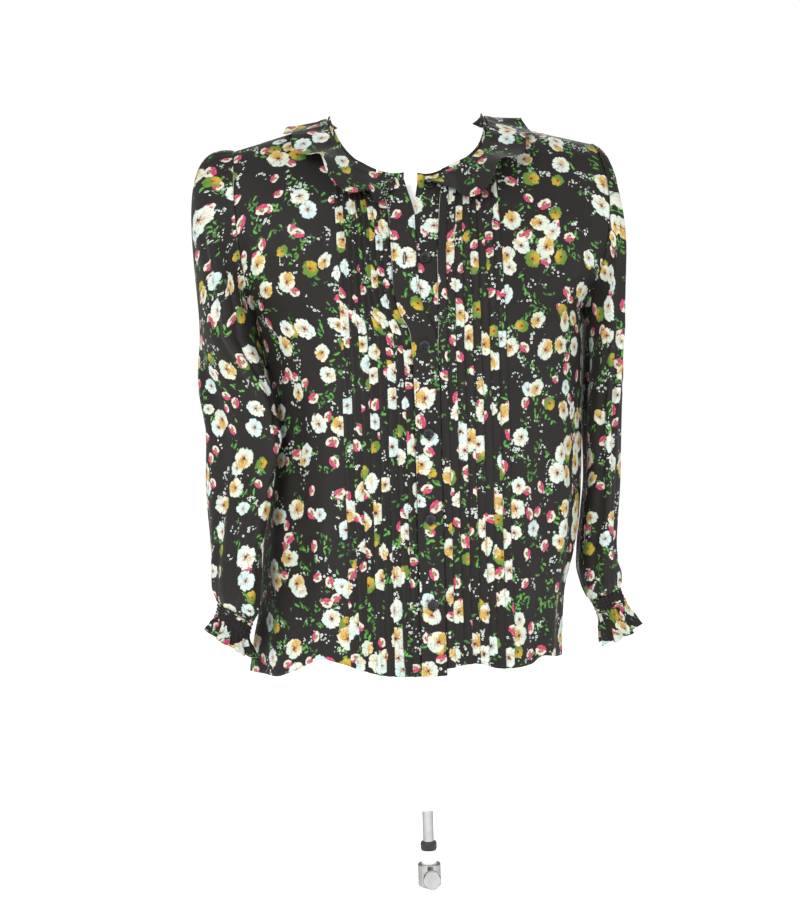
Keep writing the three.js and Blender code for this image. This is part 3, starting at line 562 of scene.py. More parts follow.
sleeves = {
    "columns": 132,
    "capRows": 44,
    "hangRows": 104,
    "topZ": 765,
    "wristZ": {"right": 480, "left": 478},
    "gathers": 26,
    "gatherDepth": 1.0,
    "gatherHalf": 46,
    "shirrs": 24,
    "creases": {
        "right": [
            (60, 905, 78, 640, 9, -4.2),
            (38, 930, 52, 700, 8, 2.8),
            (96, 860, 84, 690, 9, 3.4),
            (20, 760, 34, 560, 9, -2.6),
            (110, 700, 60, 655, 9, 3.2),
            (118, 672, 72, 622, 9, -3.0),
            (100, 620, 66, 520, 9, 2.6),
            (44, 640, 52, 505, 8, -2.8),
            (-30, 800, -44, 560, 12, -2.6),
            (-70, 760, -62, 520, 12, 2.6),
            (8, 640, -6, 500, 9, 2.2),
            (-110, 820, -96, 540, 12, -2.4),
            (158, 832, 162, 708, 22, -6.4),
        ],
        "left": [
            (34, 930, 40, 610, 7, 3.6),
            (50, 925, 54, 640, 7, -3.8),
            (72, 880, 66, 560, 9, 2.8),
            (92, 800, 84, 520, 9, -2.6),
            (14, 820, 20, 540, 9, -2.6),
            (-16, 760, -8, 500, 9, 2.4),
            (-50, 860, -42, 560, 12, -2.6),
            (-84, 800, -78, 520, 12, 2.6),
            (56, 640, 46, 500, 8, 2.4),
            (108, 700, 96, 500, 9, 2.2),
            (-120, 760, -108, 520, 12, -2.2),
        ],
    },
}


def sleevePoint(side, angle, z):
    at = {**valuesAt(side["sleeve"], z), "z": z}
    fall = ease((sleeves["topZ"] - z) / 60)
    phase = side["foldPhase"]
    folds = 1.9 * np.cos(4 * angle + phase + z / 95) + 1.3 * np.cos(7 * angle - phase + z / 140)
    folds = folds + 0.7 * np.cos(11 * angle + 2 * phase + z / 70)
    wrist = 1 - ease((z - sleeves["wristZ"][side["name"]]) / 34)
    pleats = 1.0 * wrist * np.cos(sleeves["shirrs"] * angle + 0.6 * np.sin(3 * angle))
    return section(side, at, angle, fall * folds + pleats)


def capPoint(side, angle, t):
    c = (1 + np.cos(angle)) / 2
    atFront, atBack = (armhole(side, face, angle) for face in (frontFace, backFace))
    start = np.where((np.sin(angle) > 0)[..., None], atFront, atBack)
    start = start + point(side["sign"] * 0.35, 0, 0)
    end = sleevePoint(side, angle, np.full_like(angle, sleeves["topZ"]))
    drop = start[..., 2] - end[..., 2]
    outTangent = point(side["sign"] * side["capOut"] * c**1.5, 0, -drop * (1 - side["capRise"] * c))
    downTangent = point(0, 0, -drop * 1.15)
    h = [(1 + 2 * t) * (1 - t) ** 2, t * (1 - t) ** 2, t * t * (3 - 2 * t), t * t * (t - 1)]
    parts = (start, outTangent, end, downTangent)
    return sum(k[..., None] * part for k, part in zip(h, parts))


# The cap's rows and columns run almost together near the armhole, so its map is laid row by row
# up from the hanging part, along the cloth's own surface.
def mapCap(side, p, uv):
    rows = sleeves["capRows"]
    n = closed(gridNormals(p, -side["sign"], ring=True))
    p = closed(p)
    across = unit(np.cross(n, unit(point(-0.35 * side["sign"], 0, 1))))
    across = across * np.sign(np.sum(across[rows, :-1] * np.diff(p[rows], axis=0)))
    down = np.cross(across, n)
    down = down * -np.sign(np.sum(down[rows, :, 2]))
    for row in range(rows - 1, -1, -1):
        step = p[row] - p[row + 1]
        moved = [np.sum(step * way[row + 1], -1) for way in (across, down)]
        uv[row] = uv[row + 1] + np.stack(moved, -1)
    return uv


def buildSleeve(side, material):
    angle = np.linspace(-np.pi, np.pi, sleeves["columns"], endpoint=False)[None, :]
    t = (np.linspace(0, 1, sleeves["capRows"], endpoint=False) ** 1.25)[:, None]
    angles, ts = np.broadcast_arrays(angle, t)
    cap = capPoint(side, angles, ts)
    z = np.linspace(sleeves["topZ"], sleeves["wristZ"][side["name"]], sleeves["hangRows"])[:, None]
    hang = sleevePoint(side, *np.broadcast_arrays(angle, z))
    p = np.concatenate([cap, hang], 0)
    degrees = np.degrees((angle + np.pi) % (2 * np.pi) - np.pi)
    inHead = 1 - ease((np.abs(degrees) - sleeves["gatherHalf"]) / 16)
    near = np.concatenate([1 - ease(t / 0.34), np.zeros_like(z)], 0)
    start = np.concatenate([ease(t / 0.03), np.ones_like(z)], 0)
    gather = np.cos(sleeves["gathers"] * 2 * angle + np.sin(5 * angle))
    gather = sleeves["gatherDepth"] * gather * inHead * near
    seam = -0.9 * np.concatenate([1 - ease(t / 0.035), np.zeros_like(z)], 0)
    fold = creases(degrees, p[..., 2], sleeves["creases"][side["name"]], stretch=1.0)
    n = gridNormals(p, -side["sign"], ring=True)
    smooth = p
    p = p + n * (gather * start + fold * start + seam)[..., None]
    uv = mapCap(side, smooth, clothLengths(closed(p), level=grainLevel, middle=sleeves["columns"] // 2))
    return gridMesh(f"sleeve_{side['name']}_cloth", p, uv, material, flip=side is left, ring=True)


# Cuffs: elastic rows pull the cloth into fine pleats, and a frill opens below them.
cuffs = {"rows": 54, "perShirr": 9, "depth": 1.1, "elastic": [0.05, 0.17, 0.29, 0.41], "lobes": 8, "wave": 5}


def buildCuff(side, material):
    count = sleeves["shirrs"] * cuffs["perShirr"]
    angle = np.linspace(0, 2 * np.pi, count, endpoint=False)[None, :]
    w = np.linspace(0, 1, cuffs["rows"])[:, None]
    at = valuesAt(side["cuff"], w)
    jitter = 0.7 * np.sin(3 * angle) + 0.4 * np.sin(7 * angle + 1)
    c = np.cos(sleeves["shirrs"] * angle + jitter + 0.8 * np.sin(w * 19))
    pleat = cuffs["depth"] * at["shirr"] * np.sign(c) * np.abs(c) ** 0.75
    dip = sum(np.exp(-(((w - row) / 0.022) ** 2)) for row in cuffs["elastic"])
    pleat = pleat * (1 - 0.45 * dip) - 0.7 * dip
    lobe = np.cos(cuffs["lobes"] * angle + side["foldPhase"])
    sharp = np.sign(lobe) * np.abs(lobe) ** 0.85
    frill = cuffs["wave"] * at["wave"] * (sharp + 0.28 * np.cos(17 * angle + 4 * w))
    rolled = 0.3 * ease((w - 0.965) / 0.02)
    p = section(side, at, angle, pleat + frill + rolled)
    uv = clothLengths(closed(p))
    return gridMesh(f"cuff_{side['name']}_cloth", p, uv, material, flip=side is left, ring=True)


# Plackets: the right one laps over the left and carries the buttonholes.
plackets = {"rows": 190, "columns": 17, "layer": 1.1, "stand": 6.5, "stitchAt": 10.8}


def placketPoint(side, x, s, layer):
    p = frontAt(side, x, s)
    return p + point(0 * x, -layer, 0)


def buildPlacket(side, layer, material):
    x = np.linspace(-placketHalf + 0.1, placketHalf - 0.1, plackets["columns"])[None, :]
    s = stationsFor(plackets["rows"])
    p = placketPoint(side, x + 0.25 * np.sin(s * 41 + 1.3 * layer), s, layer)
    top = p[-1:]
    stand = np.concatenate([top + point(0, -0.1 * k, plackets["stand"] * k / 3) for k in (1, 2, 3)], 0)
    p = np.concatenate([p, stand], 0)
    x = np.broadcast_to(x, p.shape[:2])
    puff = 0.32 * (1 - np.exp(-(((np.abs(x) - plackets["stitchAt"]) / 0.8) ** 2)))
    ripple = 0.14 * np.sin(np.arange(p.shape[0])[:, None] * 1.9) * ease((np.abs(x) - 6) / 5)
    n = -gridNormals(p, -1)
    p = p + n * (puff + ripple - 0.2)[..., None]
    return gridMesh(f"placket_{side['name']}_cloth", p, clothLengths(p), material)


# The neckline, from the right front's edge round the back to the left front's edge.
neckPlan = {"samples": 60, "start": {"right": -3, "left": -5}, "sideSlope": -0.28}


def neckline():
    share = np.sin(np.pi * np.arange(neckPlan["samples"] + 1) / (2 * neckPlan["samples"]))

    def ends(at, key, step):
        p = at(key, 1)
        n = unit(np.cross(at(key + step, 1) - at(key - step, 1), p - at(key, 0.98)))
        return p, np.where(n[..., 2:] < 0, -n, n)

    points, normal, along = [], [], []
    for side in (right, left):
        def frontLine(x, s, side=side):
            near = frontAt(side, side["sign"] * x, s)
            far = body(frontFace, side, x / neckSideX, np.full_like(x, s))
            return np.where((x <= neckSideX)[..., None], near, far)

        def backLine(u, s, side=side):
            return body(backFace, side, u, np.full_like(u, s))

        x = lerp(neckPlan["start"][side["name"]], neckSideX, share)
        pf, nf = ends(frontLine, x, 1)
        u = share[-2:0:-1]
        pb, nb = ends(backLine, u, 0.01)
        half = [np.concatenate([pf, pb]), np.concatenate([nf, nb]), np.r_[x, 0 * u + neckSideX]]
        if side is left:
            mid = ends(backLine, np.array([0.02]), 0.01)
            half = [np.concatenate([m, part[::-1]]) for m, part in zip((*mid, np.array([neckSideX])), half)]
        points.append(half[0])
        normal.append(half[1])
        along.append(half[2])
    p, n, along = (np.concatenate(part) for part in (points, normal, along))

    def smoothed(v, times):
        for _ in range(times):
            v = unit(np.concatenate([v[:1], v[:-1]]) + np.concatenate([v[1:], v[-1:]]) + 2 * v)
        return v

    n = smoothed(n, 40)
    run = np.concatenate([p[1:], p[-1:]]) - np.concatenate([p[:1], p[:-1]])
    plan = unit(np.stack([-run[:, 1], run[:, 0], 0 * run[:, 0]], -1))
    onCloth = unit(plan - n * (plan * n).sum(-1, keepdims=True))
    slope = onCloth[:, 2] / np.hypot(onCloth[:, 0], onCloth[:, 1])
    sideways = ease((np.abs(plan[:, 0]) - 0.4) / 0.4)
    out = unit(np.stack([plan[:, 0], plan[:, 1], lerp(slope, neckPlan["sideSlope"], sideways)], -1))
    out = smoothed(out, 20)
    length = np.r_[0, np.cumsum(np.linalg.norm(np.diff(p, axis=0), axis=-1))]
    return p, n, out, length, along


neckP, neckN, neckOut, neckRun, neckAlong = neckline()


def neckAt(length):
    def mix(v):
        return np.stack([np.interp(length, neckRun, v[:, k]) for k in range(3)], -1)

    return mix(neckP), unit(mix(neckN)), unit(mix(neckOut))


binding = {"height": 7, "foot": 0.4, "lean": 0.45, "rows": 9, "columns": 300}


def buildBinding(material):
    clear = np.nonzero(neckAlong > placketHalf + 0.3)[0]
    run = np.linspace(neckRun[clear[0]], neckRun[clear[-1]], binding["columns"])[None, :]
    p, _, out = neckAt(run)
    stand = unit(point(0, 0, 1) - out * binding["lean"])
    h = np.linspace(0, 1, binding["rows"])[:, None]
    p = p + stand * lerp(binding["foot"], binding["height"], h)[..., None]
    puff = 0.5 * np.sin(np.pi * h) + 0.12 * np.sin(run * 1.7) * h
    p = p + out * puff[..., None]
    uv = clothLengths(p, turned=True, strip=True)
    return gridMesh("neck_binding_cloth", p, uv, material, flip=False, thick=0.9)


# Frill: gathered at the neckline, with waves that grow towards its free edge.
frill = {
    "width": 42,
    "waves": 12,
    "rise": 4.6,
    "lowReach": 1.12,
    "highReach": 0.84,
    "lean": 4,
    "footUp": 2.6,
    "foot": {"placket": 2.2, "binding": 1.4, "cloth": 3.1},
    "rows": 36,
    "columns": 480,
}


def buildFrill(material):
    total = neckRun[-1]
    run = np.linspace(0, total, frill["columns"])[None, :]
    t = np.linspace(0, 1, frill["rows"])[:, None]
    fromRight = 0.35 + 0.65 * ease(run / 12)
    fromLeft = 0.12 + 0.88 * ease((total - run - 4) / 26)
    width = frill["width"] * np.minimum(fromRight, fromLeft)
    p, n, out = neckAt(run)
    phase = 2 * np.pi * frill["waves"] * run / total
    size = width / frill["width"]
    uneven = 1 + 0.3 * np.sin(run / 23)
    crest = (1 - np.cos(phase)) / 2
    wave = 2 * frill["rise"] * uneven * size * t**0.8 * crest
    reach = width * t * lerp(frill["lowReach"], frill["highReach"], crest * t)
    small = 0.5 * np.cos(3 * phase + 0.8 * np.sin(run / 9)) * ease(t / 0.1) * (1 - 0.75 * t)
    overPlacket = 1 - ease((np.minimum(run, total - run) - 15) / 5)
    foot = lerp(frill["foot"]["binding"], frill["foot"]["placket"], overPlacket)
    height = lerp(foot, frill["foot"]["cloth"], ease(t / 0.14)) + 0.8 * t + wave + small
    lean = frill["lean"] * np.sin(phase) * t * size
    edge = 0.25 * ease((t - 0.965) / 0.02)
    p = p + out * reach[..., None] + n * (height + edge)[..., None] + np.cross(out, n) * lean[..., None]
    p[..., 2] += frill["footUp"] * (1 - ease(t / 0.2))
    return gridMesh("collar_frill_cloth", p, clothLengths(p, turned=True, strip=True), material, flip=True)


# The limbless form, as smooth level rings.
form = {
    "rows": 150,
    "columns": 120,
    "rings": table(
        "z half front back square",
        [
            (267, 118, 84, 92, 2.3),
            (290, 128, 92, 100, 2.3),
            (350, 136, 96, 102, 2.3),
            (415, 140, 97, 99, 2.3),
            (480, 136, 93, 94, 2.3),
            (545, 124, 88, 88, 2.3),
            (600, 117, 87, 86, 2.3),
            (650, 122, 94, 90, 2.3),
            (700, 133, 108, 97, 2.3),
            (740, 143, 117, 103, 2.3),
            (775, 150, 118, 106, 2.3),
            (810, 155, 112, 106, 2.3),
            (845, 158, 99, 102, 2.4),
            (880, 161, 82, 96, 2.5),
            (910, 164, 64, 87, 2.5),
            (935, 164, 46, 72, 2.4),
            (952, 154, 33, 58, 2.3),
            (964, 136, 27, 46, 2.2),
            (975, 106, 24.6, 39.6, 2.1),
            (983, 77, 31.6, 41.6, 2),
            (992, 62, 38, 48, 2),
            (1010, 57, 43, 53, 2),
            (1058, 56, 46, 56, 2),
            (1062, 52, 42, 52, 2),
        ],
    ),
}


def buildForm(material):
    angle = np.linspace(0, 2 * np.pi, form["columns"], endpoint=False)[None, :]
    z = np.r_[267, np.linspace(267, 1062, form["rows"]), 1062][:, None]
    at = valuesAt(form["rings"], z)
    cos, sin = np.cos(angle), np.sin(angle)
    power = 2 / at["square"]
    shrink = np.ones_like(z)
    shrink[0], shrink[-1] = 0.02, 0.02
    depth = np.where(sin > 0, at["back"], at["front"])
    p = point(
        shrink * at["half"] * np.sign(cos) * np.abs(cos) ** power,
        shrink * depth * np.sign(sin) * np.abs(sin) ** power,
        z,
    )
    uv = clothLengths(closed(p))
    return gridMesh("form_torso_cover", p, uv, material, ring=True, thick=0)


# Shader node helpers: each call adds a node and returns the socket that it puts out.
class Graph:
    def __init__(self, tree):
        self.tree = tree

    def add(self, kind, **settings):
        node = self.tree.nodes.new(kind)
        for key, value in settings.items():
            setattr(node, key, value)
        return node

    def put(self, socket, value):
        if isinstance(value, bpy.types.NodeSocket):
            self.tree.links.new(value, socket)
        else:
            socket.default_value = value

    def math(self, operation, *values):
        node = self.add("ShaderNodeMath", operation=operation)
        for socket, value in zip(node.inputs, values):
            self.put(socket, value)
        return node.outputs[0]

    def vector(self, operation, *values):
        node = self.add("ShaderNodeVectorMath", operation=operation)
        for socket, value in zip(node.inputs, values):
            self.put(socket, value)
        single = operation in ("LENGTH", "DISTANCE", "DOT_PRODUCT")
        return node.outputs["Value" if single else "Vector"]

    def scaled(self, vector, scale):
        node = self.add("ShaderNodeVectorMath", operation="SCALE")
        self.put(node.inputs[0], vector)
        self.put(node.inputs["Scale"], scale)
        return node.outputs["Vector"]

    def mix(self, factor, a, b):
        node = self.add("ShaderNodeMix", data_type="RGBA")
        for socket, value in ((node.inputs[0], factor), (node.inputs[6], a), (node.inputs[7], b)):
            self.put(socket, value)
        return node.outputs[2]

    def fade(self, value, low, high):
        node = self.add("ShaderNodeMapRange", interpolation_type="SMOOTHSTEP")
        for key, one in (("Value", value), ("From Min", low), ("From Max", high)):
            self.put(node.inputs[key], one)
        return node.outputs[0]

    def noise(self, vector, scale, detail=2.0, dimensions="2D"):
        node = self.add("ShaderNodeTexNoise", noise_dimensions=dimensions)
        for key, one in (("Vector", vector), ("Scale", scale), ("Detail", detail)):
            self.put(node.inputs[key], one)
        return node.outputs[0]

    def split(self, vector):
        node = self.add("ShaderNodeSeparateXYZ")
        self.put(node.inputs[0], vector)
        return node.outputs

    def join(self, x, y, z=0.0):
        node = self.add("ShaderNodeCombineXYZ")
        for socket, value in zip(node.inputs, (x, y, z)):
            self.put(socket, value)
        return node.outputs[0]

    def turned(self, vector, angle):
        node = self.add("ShaderNodeVectorRotate", rotation_type="Z_AXIS")
        self.put(node.inputs["Vector"], vector)
        self.put(node.inputs["Angle"], angle)
        return node.outputs[0]

    def use(self, group, **values):
        node = self.add("ShaderNodeGroup", node_tree=group)
        for key, value in values.items():
            self.put(node.inputs[key], value)
        return node.outputs


def newGroup(name, inputs, outputs):
    tree = bpy.data.node_groups.new(name, "ShaderNodeTree")
    for key, value in inputs.items():
        kind = "Float" if isinstance(value, (int, float)) else "Color" if len(value) == 4 else "Vector"
        socket = tree.interface.new_socket(key, in_out="INPUT", socket_type="NodeSocket" + kind)
        socket.default_value = value
    for key, kind in outputs.items():
        tree.interface.new_socket(key, in_out="OUTPUT", socket_type="NodeSocket" + kind)
    graph = Graph(tree)
    given = graph.add("NodeGroupInput").outputs
    result = graph.add("NodeGroupOutput").inputs
    return tree, graph, given, result


# One motif in each cell of a scattered grid: the way from its middle in mm, turned at random,
# random values, and 1 where the cell holds a motif.
def makeScatter():
    tree, g, given, result = newGroup(
        "scatter",
        {"Vector": (0, 0, 0), "Cell": 20.0, "Coverage": 0.5, "Seed": 0.0, "Loose": 0.7},
        {"Local": "Vector", "Random": "Vector", "Here": "Float", "Away": "Float"},
    )
    shift = g.join(g.math("MULTIPLY", given["Seed"], 7.31), g.math("MULTIPLY", given["Seed"], 3.17))
    p = g.vector("ADD", g.scaled(given["Vector"], g.math("DIVIDE", 1.0, given["Cell"])), shift)
    cells = g.add("ShaderNodeTexVoronoi", voronoi_dimensions="2D")
    g.put(cells.inputs["Vector"], p)
    g.put(cells.inputs["Scale"], 1.0)
    g.put(cells.inputs["Randomness"], given["Loose"])
    offset = g.scaled(g.vector("SUBTRACT", p, cells.outputs["Position"]), given["Cell"])
    random = g.vector("ADD", cells.outputs["Color"], (0.0, 0.0, 0.0))
    turn = g.math("MULTIPLY", g.split(random)[0], 6.2832)
    flat = g.vector("MULTIPLY", offset, (1.0, 1.0, 0.0))
    g.put(result["Local"], g.turned(flat, turn))
    g.put(result["Random"], random)
    here = g.math("LESS_THAN", g.split(random)[2], given["Coverage"])
    g.put(result["Here"], here)
    away = g.math("ADD", g.vector("LENGTH", flat), g.math("MULTIPLY", g.math("SUBTRACT", 1.0, here), 99.0))
    g.put(result["Away"], away)
    return tree


# An open flower: rounded petals with a blush on one side, thin dark lines and a small heart.
def makeFlower(scatter):
    tree, g, given, result = newGroup(
        "flower",
        {
            "Vector": (0, 0, 0), "Cell": 30.0, "Radius": 9.0, "Petals": 5.0, "Coverage": 0.5, "Seed": 0.0,
            "Petal": (0.72, 0.72, 0.62, 1), "Blush": (0.6, 0.4, 0.08, 1), "Cool": (0.5, 0.66, 0.62, 1),
            "Heart": (0.12, 0.02, 0.012, 1), "Warmth": 0.5,
        },
        {"Color": "Color", "Mask": "Float", "Away": "Float"},
    )
    keys = ("Vector", "Cell", "Coverage", "Seed")
    spot = g.use(scatter, **{key: given[key] for key in keys})
    wobble = g.noise(given["Vector"], 0.3, 3.0)
    x, y, _ = g.split(spot["Local"])
    random = g.split(spot["Random"])
    squash = g.math("MULTIPLY_ADD", random[1], 0.36, 0.72)
    seen = g.join(x, g.math("DIVIDE", y, squash))
    size = g.math("MULTIPLY", given["Radius"], g.math("MULTIPLY_ADD", random[0], 0.34, 0.8))
    r = g.math("DIVIDE", g.vector("LENGTH", seen), size)
    r = g.math("ADD", r, g.math("MULTIPLY", g.math("SUBTRACT", wobble, 0.5), 0.3))
    bend = g.math("MULTIPLY", g.math("SUBTRACT", g.noise(given["Vector"], 0.16, 1.0), 0.5), 1.8)
    angle = g.math("ADD", g.math("ARCTAN2", g.split(seen)[1], x), bend)
    half = g.math("MULTIPLY", g.math("MULTIPLY", angle, given["Petals"]), 0.5)
    lobes = g.math("ABSOLUTE", g.math("COSINE", half))
    edge = g.math("MULTIPLY_ADD", g.math("POWER", lobes, 0.5), 0.22, 0.78)
    inside = g.math("SUBTRACT", edge, r)
    mask = g.fade(inside, -0.02, 0.04)
    streak = g.noise(g.join(g.math("MULTIPLY", angle, 4.2), g.math("MULTIPLY", r, 1.4), random[1]), 1.0, 3.0)
    fine = g.noise(g.join(g.math("MULTIPLY", angle, 9.0), r, random[0]), 1.6, 1.0)
    side = g.math("DIVIDE", x, size)
    blush = g.math("MULTIPLY_ADD", r, -0.9, g.math("MULTIPLY_ADD", given["Warmth"], 0.8, 0.02))
    blush = g.math("ADD", blush, g.math("MULTIPLY", side, 0.75))
    blush = g.math("ADD", blush, g.math("MULTIPLY", g.math("SUBTRACT", streak, 0.5), 1.3))
    colour = g.mix(g.fade(blush, 0.1, 0.42), given["Petal"], given["Blush"])
    cool = g.math("MULTIPLY_ADD", side, -0.8, g.math("MULTIPLY", streak, 0.9))
    colour = g.mix(g.math("MULTIPLY", g.fade(cool, 0.62, 0.95), 0.6), colour, given["Cool"])
    split = g.math("MULTIPLY", g.fade(lobes, 0.14, 0.02), g.fade(r, 0.2, 0.42))
    rim = g.math("MULTIPLY", g.fade(inside, 0.075, 0.03), g.fade(streak, 0.45, 0.6))
    veins = g.math("MULTIPLY", g.fade(fine, 0.585, 0.63), g.fade(r, 0.6, 0.3))
    dark = g.math("MAXIMUM", g.math("MULTIPLY", split, 0.75), g.math("MULTIPLY", veins, 0.8))
    dark = g.math("MAXIMUM", dark, g.math("MULTIPLY", rim, 0.55))
    colour = g.mix(dark, colour, (0.1, 0.07, 0.03, 1))
    stamens = g.math("MULTIPLY", g.fade(r, 0.34, 0.24), g.fade(streak, 0.48, 0.54))
    colour = g.mix(stamens, colour, (0.36, 0.1, 0.02, 1))
    colour = g.mix(g.fade(r, 0.17, 0.1), colour, given["Heart"])
    g.put(result["Color"], colour)
    g.put(result["Mask"], g.math("MULTIPLY", mask, spot["Here"]))
    g.put(result["Away"], spot["Away"])
    return tree


# A half open bud: pale petals, a pink half and an olive heart with dark lines.
def makeBud(scatter):
    tree, g, given, result = newGroup(
        "bud",
        {"Vector": (0, 0, 0), "Cell": 24.0, "Radius": 5.6, "Coverage": 0.5, "Seed": 0.0,
         "Pale": (0.7, 0.64, 0.55, 1), "Deep": (0.5, 0.035, 0.13, 1)},
        {"Color": "Color", "Mask": "Float", "Away": "Float"},
    )
    keys = ("Vector", "Cell", "Coverage", "Seed")
    spot = g.use(scatter, **{key: given[key] for key in keys})
    x, y, _ = g.split(spot["Local"])
    size = g.math("MULTIPLY", given["Radius"], g.math("MULTIPLY_ADD", g.split(spot["Random"])[1], 0.3, 0.82))
    across = g.math("DIVIDE", y, g.math("MULTIPLY", size, 0.74))
    along = g.math("DIVIDE", x, size)
    wobble = g.math("MULTIPLY", g.math("SUBTRACT", g.noise(given["Vector"], 0.42, 3.0), 0.5), 0.5)
    r = g.math("ADD", g.vector("LENGTH", g.join(along, across)), wobble)
    streak = g.noise(g.join(g.math("MULTIPLY", across, 3.4), g.math("MULTIPLY", along, 1.2)), 1.2, 2.0)
    half = g.math("ADD", g.math("ADD", across, g.math("MULTIPLY", along, 0.25)), wobble)
    colour = g.mix(g.fade(half, 0.1, 0.24), given["Pale"], given["Deep"])
    tint = g.math("MULTIPLY", g.fade(streak, 0.5, 0.62), 0.45)
    colour = g.mix(tint, colour, (0.62, 0.3, 0.26, 1))
    heart = g.vector("LENGTH", g.join(g.math("MULTIPLY", along, 1.3), g.math("ADD", across, 0.1)))
    colour = g.mix(g.math("MULTIPLY", g.fade(heart, 0.5, 0.34), 0.85), colour, (0.3, 0.22, 0.04, 1))
    lines = g.math("MULTIPLY", g.fade(heart, 0.7, 0.5), g.fade(streak, 0.55, 0.6))
    colour = g.mix(lines, colour, (0.07, 0.015, 0.012, 1))
    g.put(result["Color"], colour)
    g.put(result["Mask"], g.math("MULTIPLY", g.fade(r, 1.04, 0.98), spot["Here"]))
    g.put(result["Away"], spot["Away"])
    return tree


# A small leaf with a paler midrib.
def makeLeaf(scatter):
    tree, g, given, result = newGroup(
        "leaf",
        {"Vector": (0, 0, 0), "Cell": 6.0, "Long": 2.9, "Wide": 1.35, "Coverage": 0.7, "Seed": 0.0,
         "Dark": (0.012, 0.07, 0.015, 1), "Bright": (0.09, 0.33, 0.05, 1)},
        {"Color": "Color", "Mask": "Float"},
    )
    spot = g.use(
        scatter, Vector=given["Vector"], Cell=given["Cell"], Coverage=given["Coverage"], Seed=given["Seed"],
        Loose=0.9,
    )
    x, y, _ = g.split(spot["Local"])
    share = g.math("DIVIDE", x, given["Long"])
    half = g.math("MULTIPLY", given["Wide"], g.math("SUBTRACT", 1.0, g.math("MULTIPLY", share, share)))
    inside = g.math("SUBTRACT", half, g.math("ABSOLUTE", y))
    lit = g.math("ADD", g.split(spot["Random"])[1], g.math("MULTIPLY", y, 0.35))
    colour = g.mix(g.fade(lit, 0.15, 0.95), given["Dark"], given["Bright"])
    rib = g.math("MULTIPLY", g.fade(g.math("ABSOLUTE", y), 0.26, 0.12), 0.5)
    colour = g.mix(rib, colour, (0.35, 0.5, 0.2, 1))
    g.put(result["Color"], colour)
    g.put(result["Mask"], g.math("MULTIPLY", g.fade(inside, 0.0, 0.18), spot["Here"]))
    return tree


# A tiny round blossom or berry: a pale ring with a dark middle, or a plain dot.
def makeDot(scatter):
    tree, g, given, result = newGroup(
        "dot",
        {"Vector": (0, 0, 0), "Cell": 3.6, "Radius": 1.2, "Hollow": 0.45, "Coverage": 0.7, "Seed": 0.0},
        {"Mask": "Float", "Random": "Float"},
    )
    spot = g.use(
        scatter, Vector=given["Vector"], Cell=given["Cell"], Coverage=given["Coverage"], Seed=given["Seed"],
        Loose=0.85,
    )
    size = g.math("MULTIPLY", given["Radius"], g.math("MULTIPLY_ADD", g.split(spot["Random"])[0], 0.5, 0.7))
    r = g.math("DIVIDE", g.vector("LENGTH", spot["Local"]), size)
    hole = g.math("MULTIPLY", given["Hollow"], g.math("GREATER_THAN", g.split(spot["Random"])[1], 0.3))
    ring = g.math("MULTIPLY", g.fade(r, 1.05, 0.85), g.fade(r, g.math("MULTIPLY", hole, 0.6), hole))
    g.put(result["Mask"], g.math("MULTIPLY", ring, spot["Here"]))
    g.put(result["Random"], g.split(spot["Random"])[1])
    return tree


# Long loose clusters that hold the leaves or the dots: 1 inside, 0 outside.
def makeSpray(scatter):
    tree, g, given, result = newGroup(
        "spray",
        {"Vector": (0, 0, 0), "Cell": 26.0, "Long": 11.0, "Wide": 4.5, "Coverage": 0.5, "Seed": 0.0},
        {"Mask": "Float"},
    )
    keys = ("Vector", "Cell", "Coverage", "Seed")
    spot = g.use(scatter, **{key: given[key] for key in keys})
    x, y, _ = g.split(spot["Local"])
    curved = g.math("MULTIPLY_ADD", g.math("MULTIPLY", x, x), 0.03, y)
    share = g.join(g.math("DIVIDE", x, given["Long"]), g.math("DIVIDE", curved, given["Wide"]))
    wobble = g.math("MULTIPLY", g.math("SUBTRACT", g.noise(given["Vector"], 0.25, 2.0), 0.5), 0.9)
    r = g.math("ADD", g.vector("LENGTH", share), wobble)
    g.put(result["Mask"], g.math("MULTIPLY", g.fade(r, 1.05, 0.95), spot["Here"]))
    return tree


# The whole print on its dark ground, over a place on the flat cloth in mm. Each row of blooms
# is a flower's cell, radius, petals, coverage, seed, warmth, then its petal, blush and cool side.
blooms = [
    (34, 11.2, 5, 0.36, 1, 0.66, (0.66, 0.67, 0.54), (0.56, 0.34, 0.06), (0.48, 0.62, 0.55)),
    (43, 10.8, 6, 0.38, 2, 0.34, (0.66, 0.7, 0.62), (0.58, 0.44, 0.15), (0.5, 0.65, 0.62)),
    (50, 8.8, 5, 0.5, 5, 0.8, (0.14, 0.25, 0.035), (0.5, 0.34, 0.035), (0.08, 0.2, 0.025)),
    (53, 10.0, 5, 0.34, 9, 0.15, (0.58, 0.7, 0.66), (0.62, 0.54, 0.34), (0.42, 0.58, 0.6)),
]
budRows = [(29, 6.6, 0.42, 3), (37, 6.0, 0.44, 7)]
leafRows = [(6.0, 3.9, 1.85, 0.9, 11), (6.8, 4.4, 1.7, 0.85, 13), (5.2, 3.0, 1.3, 0.8, 15)]
dotRows = [(3.2, 1.35, 0.7, 17), (3.7, 1.5, 0.62, 19), (2.9, 1.0, 0.5, 21)]


